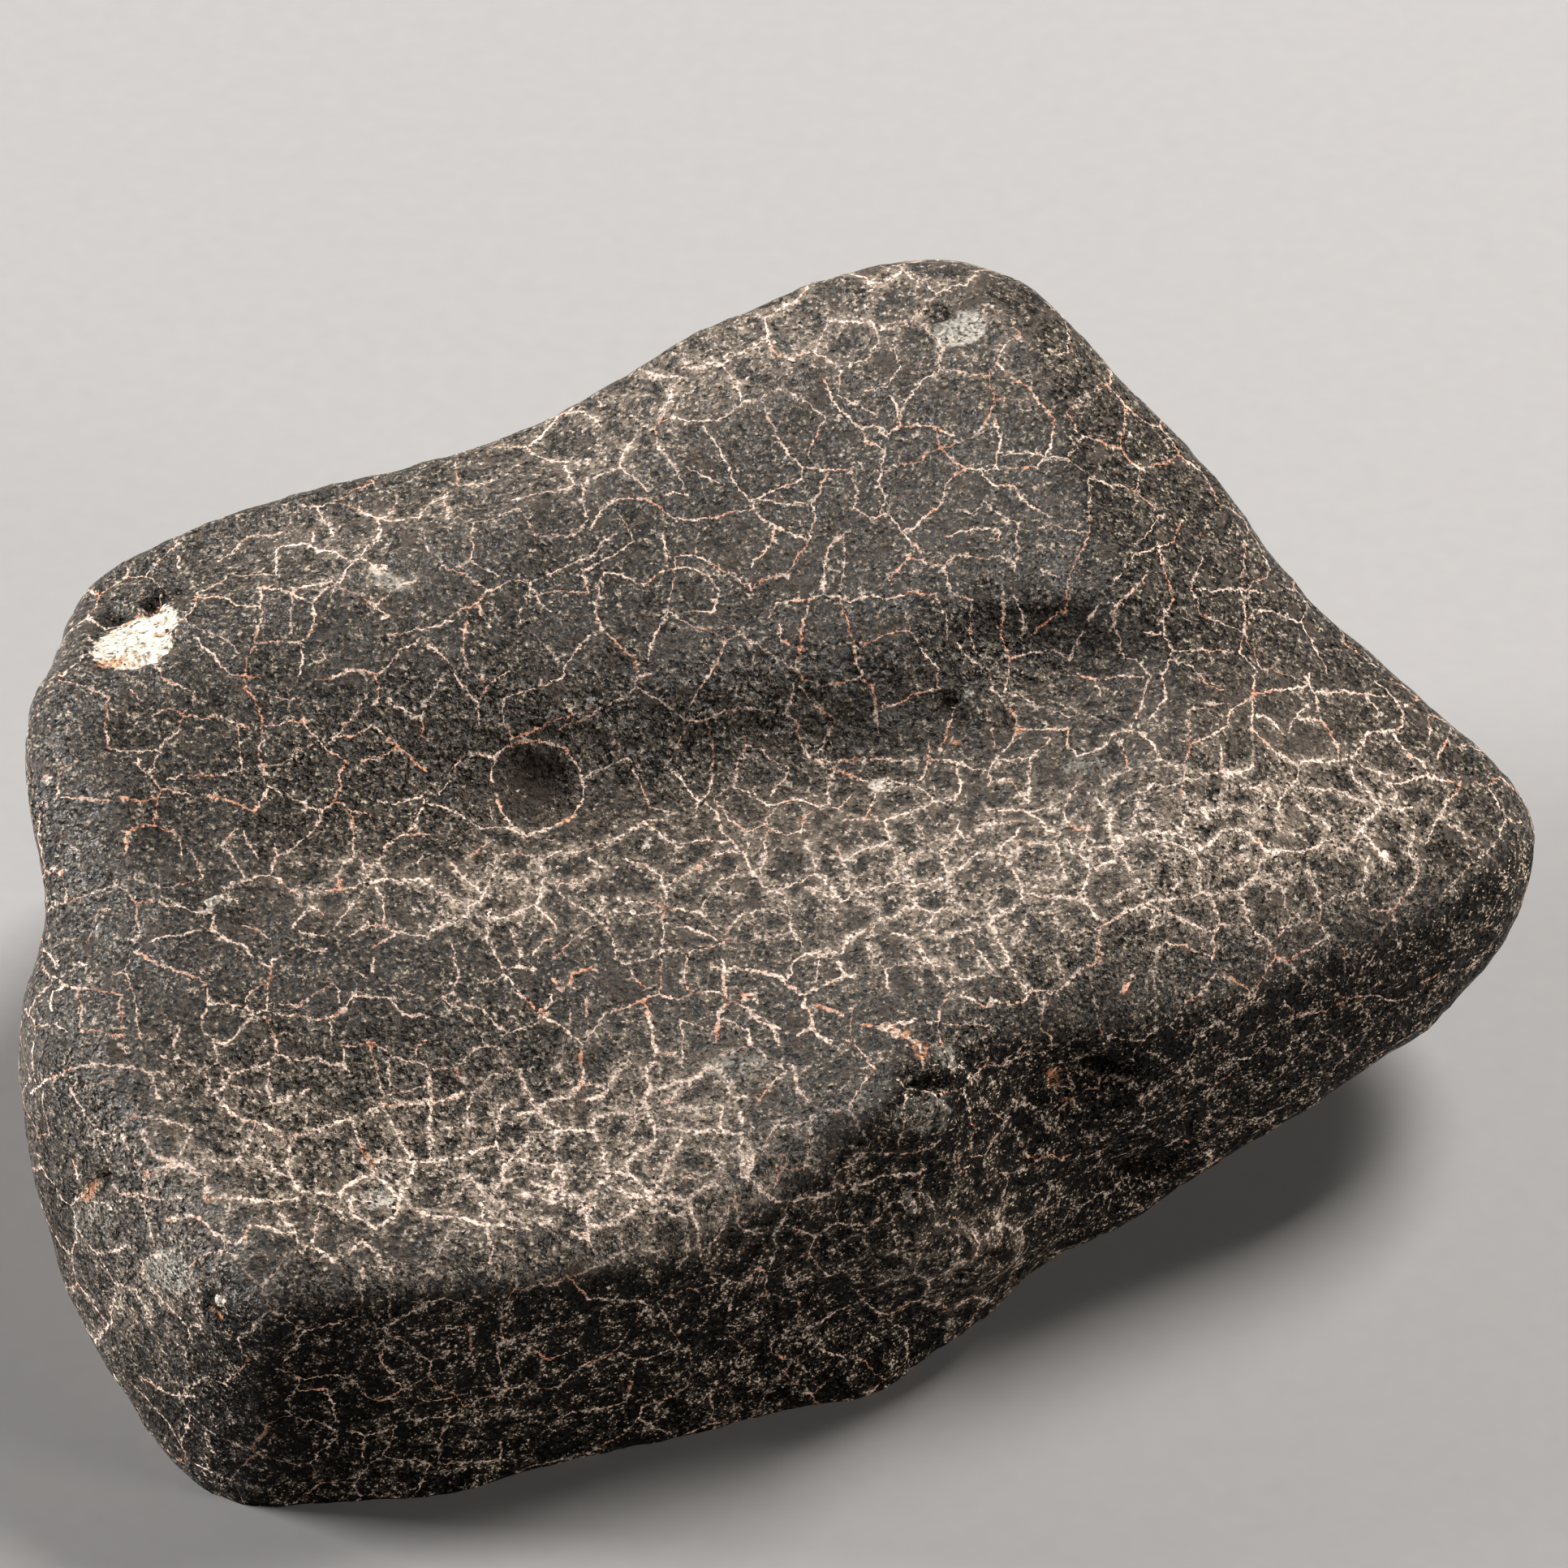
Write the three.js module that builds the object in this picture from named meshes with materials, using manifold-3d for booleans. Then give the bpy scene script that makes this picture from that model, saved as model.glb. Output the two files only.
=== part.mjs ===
// A chondrite meteorite: one solid stone, 66 mm long, with rounded facets, one high corner at
// the back, two long troughs in its broad sloping side and a small flat spot to rest on.
// Millimetres, +Z up, +X along the stone, the broad sloping side towards -Y.
// Origin at the middle of the stone's footprint, on the surface that it rests on.

import * as THREE from 'three';
import { mergeVertices } from 'three/addons/utils/BufferGeometryUtils.js';
import Module from 'manifold-3d';

// ---- driving dimensions, in millimetres and degrees ----

// The point that every facet's distance is measured from.
const HEART = new THREE.Vector3(-0.5, 0, 13);

// How softly two walls run into each other, how much more crisply the facets around the crest
// do, and how softly the two roofs meet.
const EDGE_SOFTNESS = 1.1;
const CREST_SOFTNESS = 0.45;
const ROOF_SOFTNESS = 0.8;

// Facets: the direction that each one faces, as azimuth (0 is -Y, 90 is +X) and elevation,
// and its distance from the heart.
const WALLS = {
  rimRight: [27.5, 33.2, 17.3],
  back: [184, 1, 26.6],
  backLeft: [234.4, -2.5, 31.45],
  left: [260.6, -8.4, 29.95],
  leftFront: [313.6, 4.6, 34.4],
  front: [12, 0.5, 21.55],
  frontRight: [27.9, -0.6, 18.95],
  rightEnd: [75.6, -10.9, 32.5],
  rightBack: [138.3, 8.5, 24.45],
  rightUnderside: [78.9, -65, 17.95],
  frontUnderside: [11.1, -56.8, 26.2],
  backUnderside: [184, -60, 16.6],
  leftUnderside: [258.3, -49.5, 25.25],
  underside: [0, -90, 15.5],
};
// Two roofs close the top, and the stone reaches to the higher of them: the broad sloping
// side, and the high corner, which stands proud of it at the back.
const BROAD_ROOF = { broad: [348.6, 67.4, 9.95] };
const CORNER_ROOF = { scarp: [13.2, 65.7, 9.35], brow: [218.3, 68.8, 18.5] };
// Slopes that run down from the roofs, over edges as crisp as the crest.
const SHOULDERS = {
  rightShoulder: [67.8, 60, 18.15],
  backSlope: [204.5, 20.7, 21.9],
  behindHighCorner: [185.8, 60.2, 25.15],
};

// Hollows and lumps. Each is a soft dent seen square from the side it faces: its middle, half
// its length and half its width there, the turn of its length, and its depth (a lump is < 0).
const BROAD_SIDE = [0, 45];
const DENTS = [
  { facing: BROAD_SIDE, at: [2.6, -5.9, 19.7], half: [19, 6], turn: 5, depth: 1.5 }, // main floor
  { facing: BROAD_SIDE, at: [-1.3, -1.4, 20.8], half: [15, 3.4], turn: 4, depth: 1.75 }, // its back wall
  { facing: BROAD_SIDE, at: [11.9, 2.7, 22.9], half: [5, 2.8], turn: 5, depth: 1.5 }, // deep right end
  { facing: BROAD_SIDE, at: [-15, -3.7, 21.2], half: [7, 3.2], turn: 6, depth: 0.8 }, // shallow left end
  { facing: BROAD_SIDE, at: [-12, -18, 14.7], half: [12, 4.6], turn: 2, depth: 2.1 }, // front trough
  { facing: BROAD_SIDE, at: [-34, -4.1, 13.9], half: [4.5, 4.2], turn: 0, depth: 1.5 }, // waist, left
  { facing: BROAD_SIDE, at: [-14, 13.2, 28], half: [7, 3], turn: 14, depth: 1.4 }, // saddle of the crest
  { facing: BROAD_SIDE, at: [23.5, 7.1, 23], half: [5, 3], turn: -45, depth: 0.55 }, // right shoulder
  { facing: BROAD_SIDE, at: [11.4, -13.2, 12.4], half: [3, 2.6], turn: 0, depth: 1.2 }, // notch in the rim
  { facing: BROAD_SIDE, at: [5.3, -17.5, 15.8], half: [3.2, 2.2], turn: 0, depth: -0.9 }, // lip beside it
  { facing: BROAD_SIDE, at: [6.1, -18.8, 8.2], half: [2.8, 2.4], turn: 0, depth: -1.1 }, // knob below it
  { facing: BROAD_SIDE, at: [15.5, -11.7, 5.8], half: [2.6, 1.4], turn: 20, depth: 0.8 }, // small hollow
  { facing: BROAD_SIDE, at: [3.6, -19.7, 0], half: [2.8, 2], turn: 0, depth: -0.9 }, // heel, middle
  { facing: BROAD_SIDE, at: [-14.7, -26.1, 0], half: [3, 1.5], turn: 0, depth: -0.55 }, // heel, left
  { facing: BROAD_SIDE, at: [12.3, -12.4, 0], half: [3, 2], turn: 30, depth: 0.6 }, // under the notch
  { facing: [184, 5], at: [6, 26, 15], half: [9, 6], turn: 10, depth: 0.9 }, // thumbprints, far side
  { facing: [215, 15], at: [-17, 22, 14], half: [6, 7], turn: 0, depth: 0.8 },
  { facing: [138, 15], at: [20, 17, 16], half: [8, 5], turn: -15, depth: 0.8 },
  { facing: [200, 45], at: [-3, 20, 26], half: [8, 4], turn: 5, depth: 0.7 },
  { facing: [80, -60], at: [22, 2, 5], half: [6, 5], turn: 0, depth: 0.7 }, // underside, right
  { facing: [262, -45], at: [-25, 2, 3], half: [4, 8], turn: 0, depth: 0.6 }, // underside, left
];
// A dent acts on the side it faces only: it fades this far behind its middle, this softly.
const DENT_REACH = 12;
const DENT_FADE = 2;

// Fineness of the mesh, and the core of the stone that its points are sent out from: they are
// packed closer along the stone's short ways, which keeps the triangles even.
const STEPS_PER_SIDE = 26;
const CORE = new THREE.Vector3(-2.5, 0, 8);
const CORE_PROPORTIONS = new THREE.Vector3(1, 0.85, 0.5);
const CORE_TILT = 35;
const SEARCH_NEAR = 2;
const SEARCH_FAR = 60;
const SEARCH_STEPS = 32;

const CRUST_COLOUR = 0x3a3733;
const CRUST_ROUGHNESS = 0.78;

// ---- the stone's shape ----

// Unit vector that faces an azimuth and an elevation.
function facing([azimuth, elevation]) {
  const a = THREE.MathUtils.degToRad(azimuth);
  const e = THREE.MathUtils.degToRad(elevation);
  return new THREE.Vector3(Math.sin(a) * Math.cos(e), -Math.cos(a) * Math.cos(e), Math.sin(e));
}

function planes(table) {
  return Object.values(table).map(([azimuth, elevation, distance]) => ({
    normal: facing([azimuth, elevation]),
    distance,
  }));
}

const wallPlanes = planes(WALLS);
const shoulderPlanes = planes(SHOULDERS);
const broadPlanes = planes(BROAD_ROOF);
const cornerPlanes = planes(CORNER_ROOF);

// Dents with the directions of their length and width worked out.
const dents = DENTS.map((dent) => {
  const outward = facing(dent.facing);
  const azimuth = THREE.MathUtils.degToRad(dent.facing[0]);
  const level = new THREE.Vector3(Math.cos(azimuth), Math.sin(azimuth), 0);
  const turn = THREE.MathUtils.degToRad(dent.turn);
  return {
    middle: new THREE.Vector3(...dent.at),
    outward,
    along: level.clone().applyAxisAngle(outward, turn),
    across: new THREE.Vector3().crossVectors(outward, level).applyAxisAngle(outward, turn),
    half: dent.half,
    depth: dent.depth,
  };
});

// Rounded maximum: the logarithm of the sum of exponentials, which is close to the largest
// value, and a little above it where two are alike.
function roundedMax(values, softness) {
  const top = Math.max(...values);
  const sum = values.reduce((total, value) => total + Math.exp((value - top) / softness), 0);
  return top + softness * Math.log(sum);
}

function heights(planeList, offset) {
  return planeList.map(({ normal, distance }) => normal.dot(offset) - distance);
}

function dentDepth(dent, point) {
  const away = point.clone().sub(dent.middle);
  const x = away.dot(dent.along) / dent.half[0];
  const y = away.dot(dent.across) / dent.half[1];
  const behind = (away.dot(dent.outward) + DENT_REACH) / DENT_FADE;
  return (dent.depth * Math.exp(-x * x - y * y)) / (1 + Math.exp(-behind));
}

// Signed height of a point over the stone's surface: below zero inside, zero on the surface.
function heightOver(point) {
  const offset = point.clone().sub(HEART);
  const broad = roundedMax(heights(broadPlanes, offset), CREST_SOFTNESS);
  const corner = roundedMax(heights(cornerPlanes, offset), CREST_SOFTNESS);
  const roof = -roundedMax([-broad, -corner], ROOF_SOFTNESS);
  const top = roundedMax([...heights(shoulderPlanes, offset), roof], CREST_SOFTNESS);
  const body = roundedMax([...heights(wallPlanes, offset), top], EDGE_SOFTNESS);
  return dents.reduce((height, dent) => height + dentDepth(dent, point), body);
}

// Where the ray from the core in a direction leaves the stone, found by halving.
function surfacePoint(direction) {
  let near = SEARCH_NEAR;
  let far = SEARCH_FAR;
  for (let step = 0; step < SEARCH_STEPS; step += 1) {
    const middle = (near + far) / 2;
    if (heightOver(CORE.clone().addScaledVector(direction, middle)) < 0) near = middle;
    else far = middle;
  }
  return CORE.clone().addScaledVector(direction, near);
}

// A cube's grid blown up to the stone: each grid point becomes a direction from the core,
// evened out by a tangent, squeezed to the core's proportions in its tilted frame.
function stoneSkin() {
  const skin = new THREE.BoxGeometry(2, 2, 2, STEPS_PER_SIDE, STEPS_PER_SIDE, STEPS_PER_SIDE);
  skin.deleteAttribute('normal');
  skin.deleteAttribute('uv');
  const closed = mergeVertices(skin);
  const tilt = new THREE.Quaternion().setFromAxisAngle(
    new THREE.Vector3(1, 0, 0), THREE.MathUtils.degToRad(CORE_TILT));
  const position = closed.attributes.position;
  const direction = new THREE.Vector3();
  for (let i = 0; i < position.count; i += 1) {
    direction.fromBufferAttribute(position, i);
    direction.set(...direction.toArray().map((side) => Math.tan((side * Math.PI) / 4)));
    direction.normalize().multiply(CORE_PROPORTIONS).applyQuaternion(tilt).normalize();
    position.setXYZ(i, ...surfacePoint(direction).toArray());
  }
  return closed;
}

// ---- the flat spot, cut at the surface that the stone rests on ----

const wasm = await Module();
wasm.setup();

function toSolid(geometry) {
  return new wasm.Manifold(new wasm.Mesh({
    numProp: 3,
    vertProperties: new Float32Array(geometry.attributes.position.array),
    triVerts: new Uint32Array(geometry.index.array),
  }));
}

function toGeometry(solid) {
  const mesh = solid.getMesh();
  const geometry = new THREE.BufferGeometry();
  geometry.setAttribute('position', new THREE.BufferAttribute(mesh.vertProperties, 3));
  geometry.setIndex(new THREE.BufferAttribute(mesh.triVerts, 1));
  return geometry;
}

function groundBlock() {
  const depth = SEARCH_FAR;
  const block = new THREE.BoxGeometry(2 * SEARCH_FAR, 2 * SEARCH_FAR, depth);
  block.deleteAttribute('normal');
  block.deleteAttribute('uv');
  return mergeVertices(block.translate(0, 0, -depth / 2));
}

const stone = new THREE.Mesh(
  toGeometry(toSolid(stoneSkin()).subtract(toSolid(groundBlock()))),
  new THREE.MeshStandardMaterial({ color: CRUST_COLOUR, roughness: CRUST_ROUGHNESS, metalness: 0 }),
);
stone.geometry.computeVertexNormals();
stone.name = 'meteorite';

const group = new THREE.Group();
group.add(stone);

export default group;
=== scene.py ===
"""A chondrite meteorite: one stone with a dark, grainy fusion crust, crossed by a net of pale
cracks, dusted with pale caliche in its hollows, chipped in a few places.

The stone's skin is one closed surface worked out with numpy. Millimetres here, metres in the
mesh. +Z up, +X along the stone, the broad sloping side towards -Y.
"""

import math
from types import SimpleNamespace

import bpy
import numpy as np
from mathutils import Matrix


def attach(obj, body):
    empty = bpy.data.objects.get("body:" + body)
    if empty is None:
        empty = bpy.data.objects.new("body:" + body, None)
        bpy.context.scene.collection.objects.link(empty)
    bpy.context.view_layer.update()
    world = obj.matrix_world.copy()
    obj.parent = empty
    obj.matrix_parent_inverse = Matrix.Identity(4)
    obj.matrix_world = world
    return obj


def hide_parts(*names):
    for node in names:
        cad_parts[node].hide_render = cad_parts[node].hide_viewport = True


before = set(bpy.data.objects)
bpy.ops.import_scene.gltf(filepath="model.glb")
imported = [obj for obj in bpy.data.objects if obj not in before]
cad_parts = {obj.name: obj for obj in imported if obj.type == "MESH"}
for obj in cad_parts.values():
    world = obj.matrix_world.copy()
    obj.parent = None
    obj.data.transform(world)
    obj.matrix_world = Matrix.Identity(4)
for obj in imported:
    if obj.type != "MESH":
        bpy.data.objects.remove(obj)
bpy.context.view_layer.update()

MM = 0.001

# ---- the stone's form: the same named values as the solid ----

HEART = (-0.5, 0.0, 13.0)
EDGE_SOFTNESS = 1.1
CREST_SOFTNESS = 0.45
ROOF_SOFTNESS = 0.8

# Azimuth (0 is -Y, 90 is +X) and elevation that each facet faces, and its distance from the heart.
WALLS = {
    "rim, right": (27.5, 33.2, 17.3),
    "back": (184, 1, 26.6),
    "back left": (234.4, -2.5, 31.45),
    "left": (260.6, -8.4, 29.95),
    "left front": (313.6, 4.6, 34.4),
    "front": (12, 0.5, 21.55),
    "front right": (27.9, -0.6, 18.95),
    "right end": (75.6, -10.9, 32.5),
    "right back": (138.3, 8.5, 24.45),
    "right underside": (78.9, -65, 17.95),
    "front underside": (11.1, -56.8, 26.2),
    "back underside": (184, -60, 16.6),
    "left underside": (258.3, -49.5, 25.25),
    "underside": (0, -90, 15.5),
}
BROAD_ROOF = {"broad": (348.6, 67.4, 9.95)}
CORNER_ROOF = {"scarp": (13.2, 65.7, 9.35), "brow": (218.3, 68.8, 18.5)}
# Slopes that run down from the roofs, over edges as crisp as the crest.
SHOULDERS = {
    "right shoulder": (67.8, 60, 18.15),
    "back slope": (204.5, 20.7, 21.9),
    "behind the high corner": (185.8, 60.2, 25.15),
}

# Soft dents (a lump is < 0): the side faced, the middle, half length and half width, turn, depth.
BROAD_SIDE = (0, 45)
DENTS = {
    "main floor": (BROAD_SIDE, (2.6, -5.9, 19.7), (19, 6), 5, 1.5),
    "its back wall": (BROAD_SIDE, (-1.3, -1.4, 20.8), (15, 3.4), 4, 1.75),
    "deep right end": (BROAD_SIDE, (11.9, 2.7, 22.9), (5, 2.8), 5, 1.5),
    "shallow left end": (BROAD_SIDE, (-15, -3.7, 21.2), (7, 3.2), 6, 0.8),
    "front trough": (BROAD_SIDE, (-12, -18, 14.7), (12, 4.6), 2, 2.1),
    "waist, left": (BROAD_SIDE, (-34, -4.1, 13.9), (4.5, 4.2), 0, 1.5),
    "saddle of the crest": (BROAD_SIDE, (-14, 13.2, 28), (7, 3), 14, 1.4),
    "right shoulder": (BROAD_SIDE, (23.5, 7.1, 23), (5, 3), -45, 0.55),
    "notch in the rim": (BROAD_SIDE, (11.4, -13.2, 12.4), (3, 2.6), 0, 1.2),
    "lip beside it": (BROAD_SIDE, (5.3, -17.5, 15.8), (3.2, 2.2), 0, -0.9),
    "knob below it": (BROAD_SIDE, (6.1, -18.8, 8.2), (2.8, 2.4), 0, -1.1),
    "small hollow": (BROAD_SIDE, (15.5, -11.7, 5.8), (2.6, 1.4), 20, 0.8),
    "heel, middle": (BROAD_SIDE, (3.6, -19.7, 0), (2.8, 2), 0, -0.9),
    "heel, left": (BROAD_SIDE, (-14.7, -26.1, 0), (3, 1.5), 0, -0.55),
    "under the notch": (BROAD_SIDE, (12.3, -12.4, 0), (3, 2), 30, 0.6),
    "thumbprint, far side": ((184, 5), (6, 26, 15), (9, 6), 10, 0.9),
    "thumbprint, far left": ((215, 15), (-17, 22, 14), (6, 7), 0, 0.8),
    "thumbprint, far right": ((138, 15), (20, 17, 16), (8, 5), -15, 0.8),
    "thumbprint, brow": ((200, 45), (-3, 20, 26), (8, 4), 5, 0.7),
    "underside, right": ((80, -60), (22, 2, 5), (6, 5), 0, 0.7),
    "underside, left": ((262, -45), (-25, 2, 3), (4, 8), 0, 0.6),
}
DENT_REACH = 12
DENT_FADE = 2

CORE = (-2.5, 0.0, 8.0)
CORE_PROPORTIONS = (1.0, 0.85, 0.5)
CORE_TILT = 35
CORE_SEARCH = (2.0, 60.0)  # the form lies between these distances from the core
CORE_HALVINGS = 24
SKIN_STEPS = 128  # quads along each side of the skin's six grids

# ---- the main view: its camera, and its frame, which counts steps from the top left corner ----

EYE = np.array((0.0, -273.54, 291.54))
VIEW_DOWN = 45
FOCUS = 380.0  # from the eye to the plane where a step has its size
STEP = 0.035
FRAME_STEPS = 1932
FILM_WIDTH = 36
LENS = FILM_WIDTH * FOCUS / (STEP * FRAME_STEPS)
DOWN = math.radians(VIEW_DOWN)
VIEW_RIGHT = np.array((1.0, 0.0, 0.0))
VIEW_UP = np.array((0.0, math.sin(DOWN), math.cos(DOWN)))
VIEW_INTO = np.array((0.0, math.cos(DOWN), -math.sin(DOWN)))
SIGHT_STEP = 0.5
SIGHT_SEARCH = np.arange(345, 440, SIGHT_STEP)  # distances from the eye that take in the stone
SIGHT_HALVINGS = 16

# The edge below which the front faces lie, and the scarp's oval, both in the main view, and the
# azimuth and elevation that the front faces look to.
RIM = (
    (0, 1500), (330, 1600), (508, 1572), (650, 1562), (752, 1548), (850, 1522), (900, 1498),
    (968, 1458), (1035, 1400), (1108, 1318), (1206, 1262), (1304, 1262), (1402, 1242),
    (1500, 1215), (1592, 1183), (1750, 1120), (1860, 1040), (1932, 980),
)
SCARP = (980, 850, 480, 90, -8)
FRONT_FACING = (25, 0)

# Chance swells of the crust: height and wavelength.
SWELLS = ((0.22, 8), (0.12, 3.6), (0.075, 1.7), (0.065, 0.85))
# Its ledges: the size of one along X, Y and Z, their height, and how much is added on the scarp.
LEDGE_SIZE = (2.6, 0.7, 0.7)
LEDGE_HEIGHT = 0.045
LEDGE_ON_SCARP = 0.24

# Hollows in the crust, placed in the main view: middle, half width, half height, turn in
# degrees, depth in millimetres (raised is < 0), and the share of it that is flat.
HOLLOWS = {
    "round pit": (661, 966, 62, 58, 0, 0.36, 0.1),
    "left pit": (292, 1135, 25, 27, 0, 0.22, 0.2),
    "pit at the scarp's foot": (1235, 890, 22, 26, 0, 0.25, 0.2),
    "recess beside the knob": (1172, 864, 22, 12, 15, 0.45, 0.1),
    "knob": (1205, 880, 14, 24, 20, -0.35, 0.2),
    "lens hollow": (1155, 385, 32, 12, -8, 0.45, 0.4),
    "grain socket": (793, 1046, 14, 11, 0, 0.4, 0.2),
    "grain": (800, 1040, 7, 6, 0, -0.25, 0.3),
    "oval": (620, 1117, 16, 10, 0, 0.2, 0.3),
    "cream chip": (165, 785, 58, 40, -10, 0.4, 0.8),
    "undercut of the chip": (191, 743, 17, 9, -15, 0.9, 0.4),
    "undercut, right": (217, 729, 14, 8, -20, 0.8, 0.4),
    "undercut, left": (142, 755, 16, 8, -35, 0.5, 0.3),
    "crust over the chip": (178, 722, 60, 12, -14, -0.25, 0.3),
    "grey chip": (1180, 408, 40, 22, -15, 0.2, 0.6),
    "notch in the rim, left": (1140, 1331, 42, 11, 14, 0.85, 0.3),
    "lip over it": (1135, 1310, 44, 9, 14, -0.3, 0.3),
    "notch in the rim, right": (1358, 1322, 46, 20, 5, 0.75, 0.3),
    "lip over the right notch": (1350, 1290, 40, 9, 0, -0.25, 0.3),
    "right notch's chip": (1303, 1335, 18, 28, 10, 0.35, 0.5),
    "hole at the right end": (1788, 1052, 15, 9, 30, 0.4, 0.2),
    "second hole": (1765, 1038, 10, 6, 20, 0.3, 0.2),
    "hole at the left edge": (132, 1447, 14, 8, 40, 0.5, 0.3),
    "groove to it": (106, 1462, 30, 6, -35, 0.35, 0.3),
    "crack's mouth": (262, 1617, 18, 7, 55, 0.4, 0.3),
    "smooth hollow": (1400, 1440, 52, 20, -8, 0.35, 0.2),
    "pit, upper left": (592, 622, 34, 24, 0, 0.3, 0.1),
    "pit, right floor": (1425, 968, 22, 16, 0, 0.22, 0.2),
    "knuckle": (1215, 1540, 60, 40, -30, -0.5, 0.2),
    "gap in the heel": (1182, 1569, 17, 12, 20, 0.4, 0.2),
    "second gap in the heel": (1211, 1543, 14, 10, -20, 0.35, 0.2),
    "third gap in the heel": (1190, 1514, 14, 10, 0, 0.35, 0.2),
}


def smooth(value, low, high):
    """0 below low, 1 above high, and an S-shaped cubic between them."""
    share = np.clip((value - low) / (high - low), 0, 1)
    return share * share * (3 - 2 * share)


def facing(azimuth, elevation):
    """Unit vector that faces an azimuth and an elevation."""
    a, e = math.radians(azimuth), math.radians(elevation)
    return np.array((math.sin(a) * math.cos(e), -math.cos(a) * math.cos(e), math.sin(e)))


def turned(vector, about, degrees):
    """The vector turned about a unit axis at right angles to it."""
    a = math.radians(degrees)
    return vector * math.cos(a) + np.cross(about, vector) * math.sin(a)


def rounded_max(values, softness):
    """Logarithm of the sum of exponentials: close to the largest value, and a little above it
    where two are alike."""
    top = np.max(values, axis=0)
    return top + softness * np.log(np.exp((values - top) / softness).sum(axis=0))


def facet_heights(table, offset):
    """Height of each point over each facet's plane: offset along its normal, less its distance."""
    return np.stack([offset @ facing(az, el) - distance for az, el, distance in table.values()])


def dent_depth(points, side, at, half, turn, depth):
    """Depth times a bell seen square from the dent's side, fading out behind its middle."""
    outward = facing(*side)
    a = math.radians(side[0])
    level = np.array((math.cos(a), math.sin(a), 0.0))
    along = turned(level, outward, turn)
    across = turned(np.cross(outward, level), outward, turn)
    away = points - np.array(at, float)
    x = away @ along / half[0]
    y = away @ across / half[1]
    behind = (away @ outward + DENT_REACH) / DENT_FADE
    return depth * np.exp(-x * x - y * y) / (1 + np.exp(-behind))


def height_over(points):
    """Signed height over the stone's form: the higher of two roofs with the shoulders beside
    them, rounded into the walls, with every dent's depth added."""
    offset = points - np.array(HEART)
    broad = rounded_max(facet_heights(BROAD_ROOF, offset), CREST_SOFTNESS)
    corner = rounded_max(facet_heights(CORNER_ROOF, offset), CREST_SOFTNESS)
    roof = -rounded_max(np.stack([-broad, -corner]), ROOF_SOFTNESS)
    top = rounded_max(np.vstack([facet_heights(SHOULDERS, offset), roof[None]]), CREST_SOFTNESS)
    body = rounded_max(np.vstack([facet_heights(WALLS, offset), top[None]]), EDGE_SOFTNESS)
    return body + sum(dent_depth(points, *dent) for dent in DENTS.values())


def outward_at(points):
    """Unit normals of the form: the height's slope over a twentieth of a millimetre."""
    ways = 0.05 * np.eye(3)
    slope = np.stack([height_over(points + way) - height_over(points - way) for way in ways], -1)
    return slope / np.linalg.norm(slope, axis=-1, keepdims=True)


def halved(origin, direction, near, far, steps):
    """Where each ray crosses the form, by halving the stretch between inside and outside."""
    near, far = near.copy(), far.copy()
    for _ in range(steps):
        middle = (near + far) / 2
        inside = height_over(origin + direction * middle[:, None]) < 0
        near = np.where(inside, middle, near)
        far = np.where(inside, far, middle)
    return origin + direction * near[:, None]


def blown_cube(steps):
    """Directions and quads of a cube's grid blown up to the stone: whole-number places on the
    six sides, welded where they coincide, spread by a tangent, squeezed to the core's
    proportions and tilted with it."""
    line = np.arange(steps + 1)
    a, b = np.meshgrid(line, line, indexing="ij")
    low, high = np.zeros_like(a), np.full_like(a, steps)
    sides = [(high, a, b), (low, b, a), (b, high, a), (a, low, b), (a, b, high), (b, a, low)]
    places = np.concatenate([np.stack(side, -1).reshape(-1, 3) for side in sides])
    index = np.arange(6 * (steps + 1) ** 2).reshape(6, steps + 1, steps + 1)
    quads = np.stack(
        [index[:, :-1, :-1], index[:, 1:, :-1], index[:, 1:, 1:], index[:, :-1, 1:]], -1
    ).reshape(-1, 4)
    key = places @ np.array([(steps + 1) ** 2, steps + 1, 1])
    _, first, welded = np.unique(key, return_index=True, return_inverse=True)
    spread = np.tan((2 * places[first] / steps - 1) * math.pi / 4)
    spread = spread / np.linalg.norm(spread, axis=1, keepdims=True) * np.array(CORE_PROPORTIONS)
    a = math.radians(CORE_TILT)
    x, y, z = spread.T
    tilted = np.stack([x, y * math.cos(a) - z * math.sin(a), y * math.sin(a) + z * math.cos(a)], -1)
    return tilted / np.linalg.norm(tilted, axis=1, keepdims=True), welded.reshape(-1)[quads]


# ---- chance that is the same each run ----

SWELL_GAIN = 1.7  # brings a swell's heights to about -1 to 1
CORNERS = np.array([(i, j, k) for i in (0, 1) for j in (0, 1) for k in (0, 1)], float)


def chance(whole, salt):
    """Scattered numbers from -1 to 1, one for each row of whole numbers: the row's numbers and
    the salt are multiplied into one, whose bits are then stirred."""
    whole = whole.astype(np.int64)
    bits = (whole[..., 0] * 73856093) ^ (whole[..., 1] * 19349663) ^ (whole[..., 2] * 83492791)
    bits = (bits ^ (salt * 2654435)) & 0x7FFFFFFF
    bits = ((bits ^ (bits >> 13)) * 1274126177) & 0x7FFFFFFF
    bits = ((bits ^ (bits >> 15)) * 1103515245) & 0x7FFFFFFF
    return ((bits >> 8) & 0xFFFF) / 32767.5 - 1


def swell(points, size, salt):
    """Smooth chance swell of about -1 to 1 with waves of a size: at each corner of a lattice a
    chance slope, and the eight nearest slopes' heights blended by an S-shaped curve."""
    at = points / np.array(size, float)
    base = np.floor(at)
    inside = at - base
    fade = inside**3 * (inside * (inside * 6 - 15) + 10)
    total = np.zeros(len(points))
    for corner in CORNERS:
        slope = np.stack([chance(base + corner, salt + k) for k in (0, 101, 202)], -1)
        share = np.prod(np.where(corner > 0, fade, 1 - fade), axis=-1)
        total += share * ((inside - corner) * slope).sum(-1)
    return total * SWELL_GAIN


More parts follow.
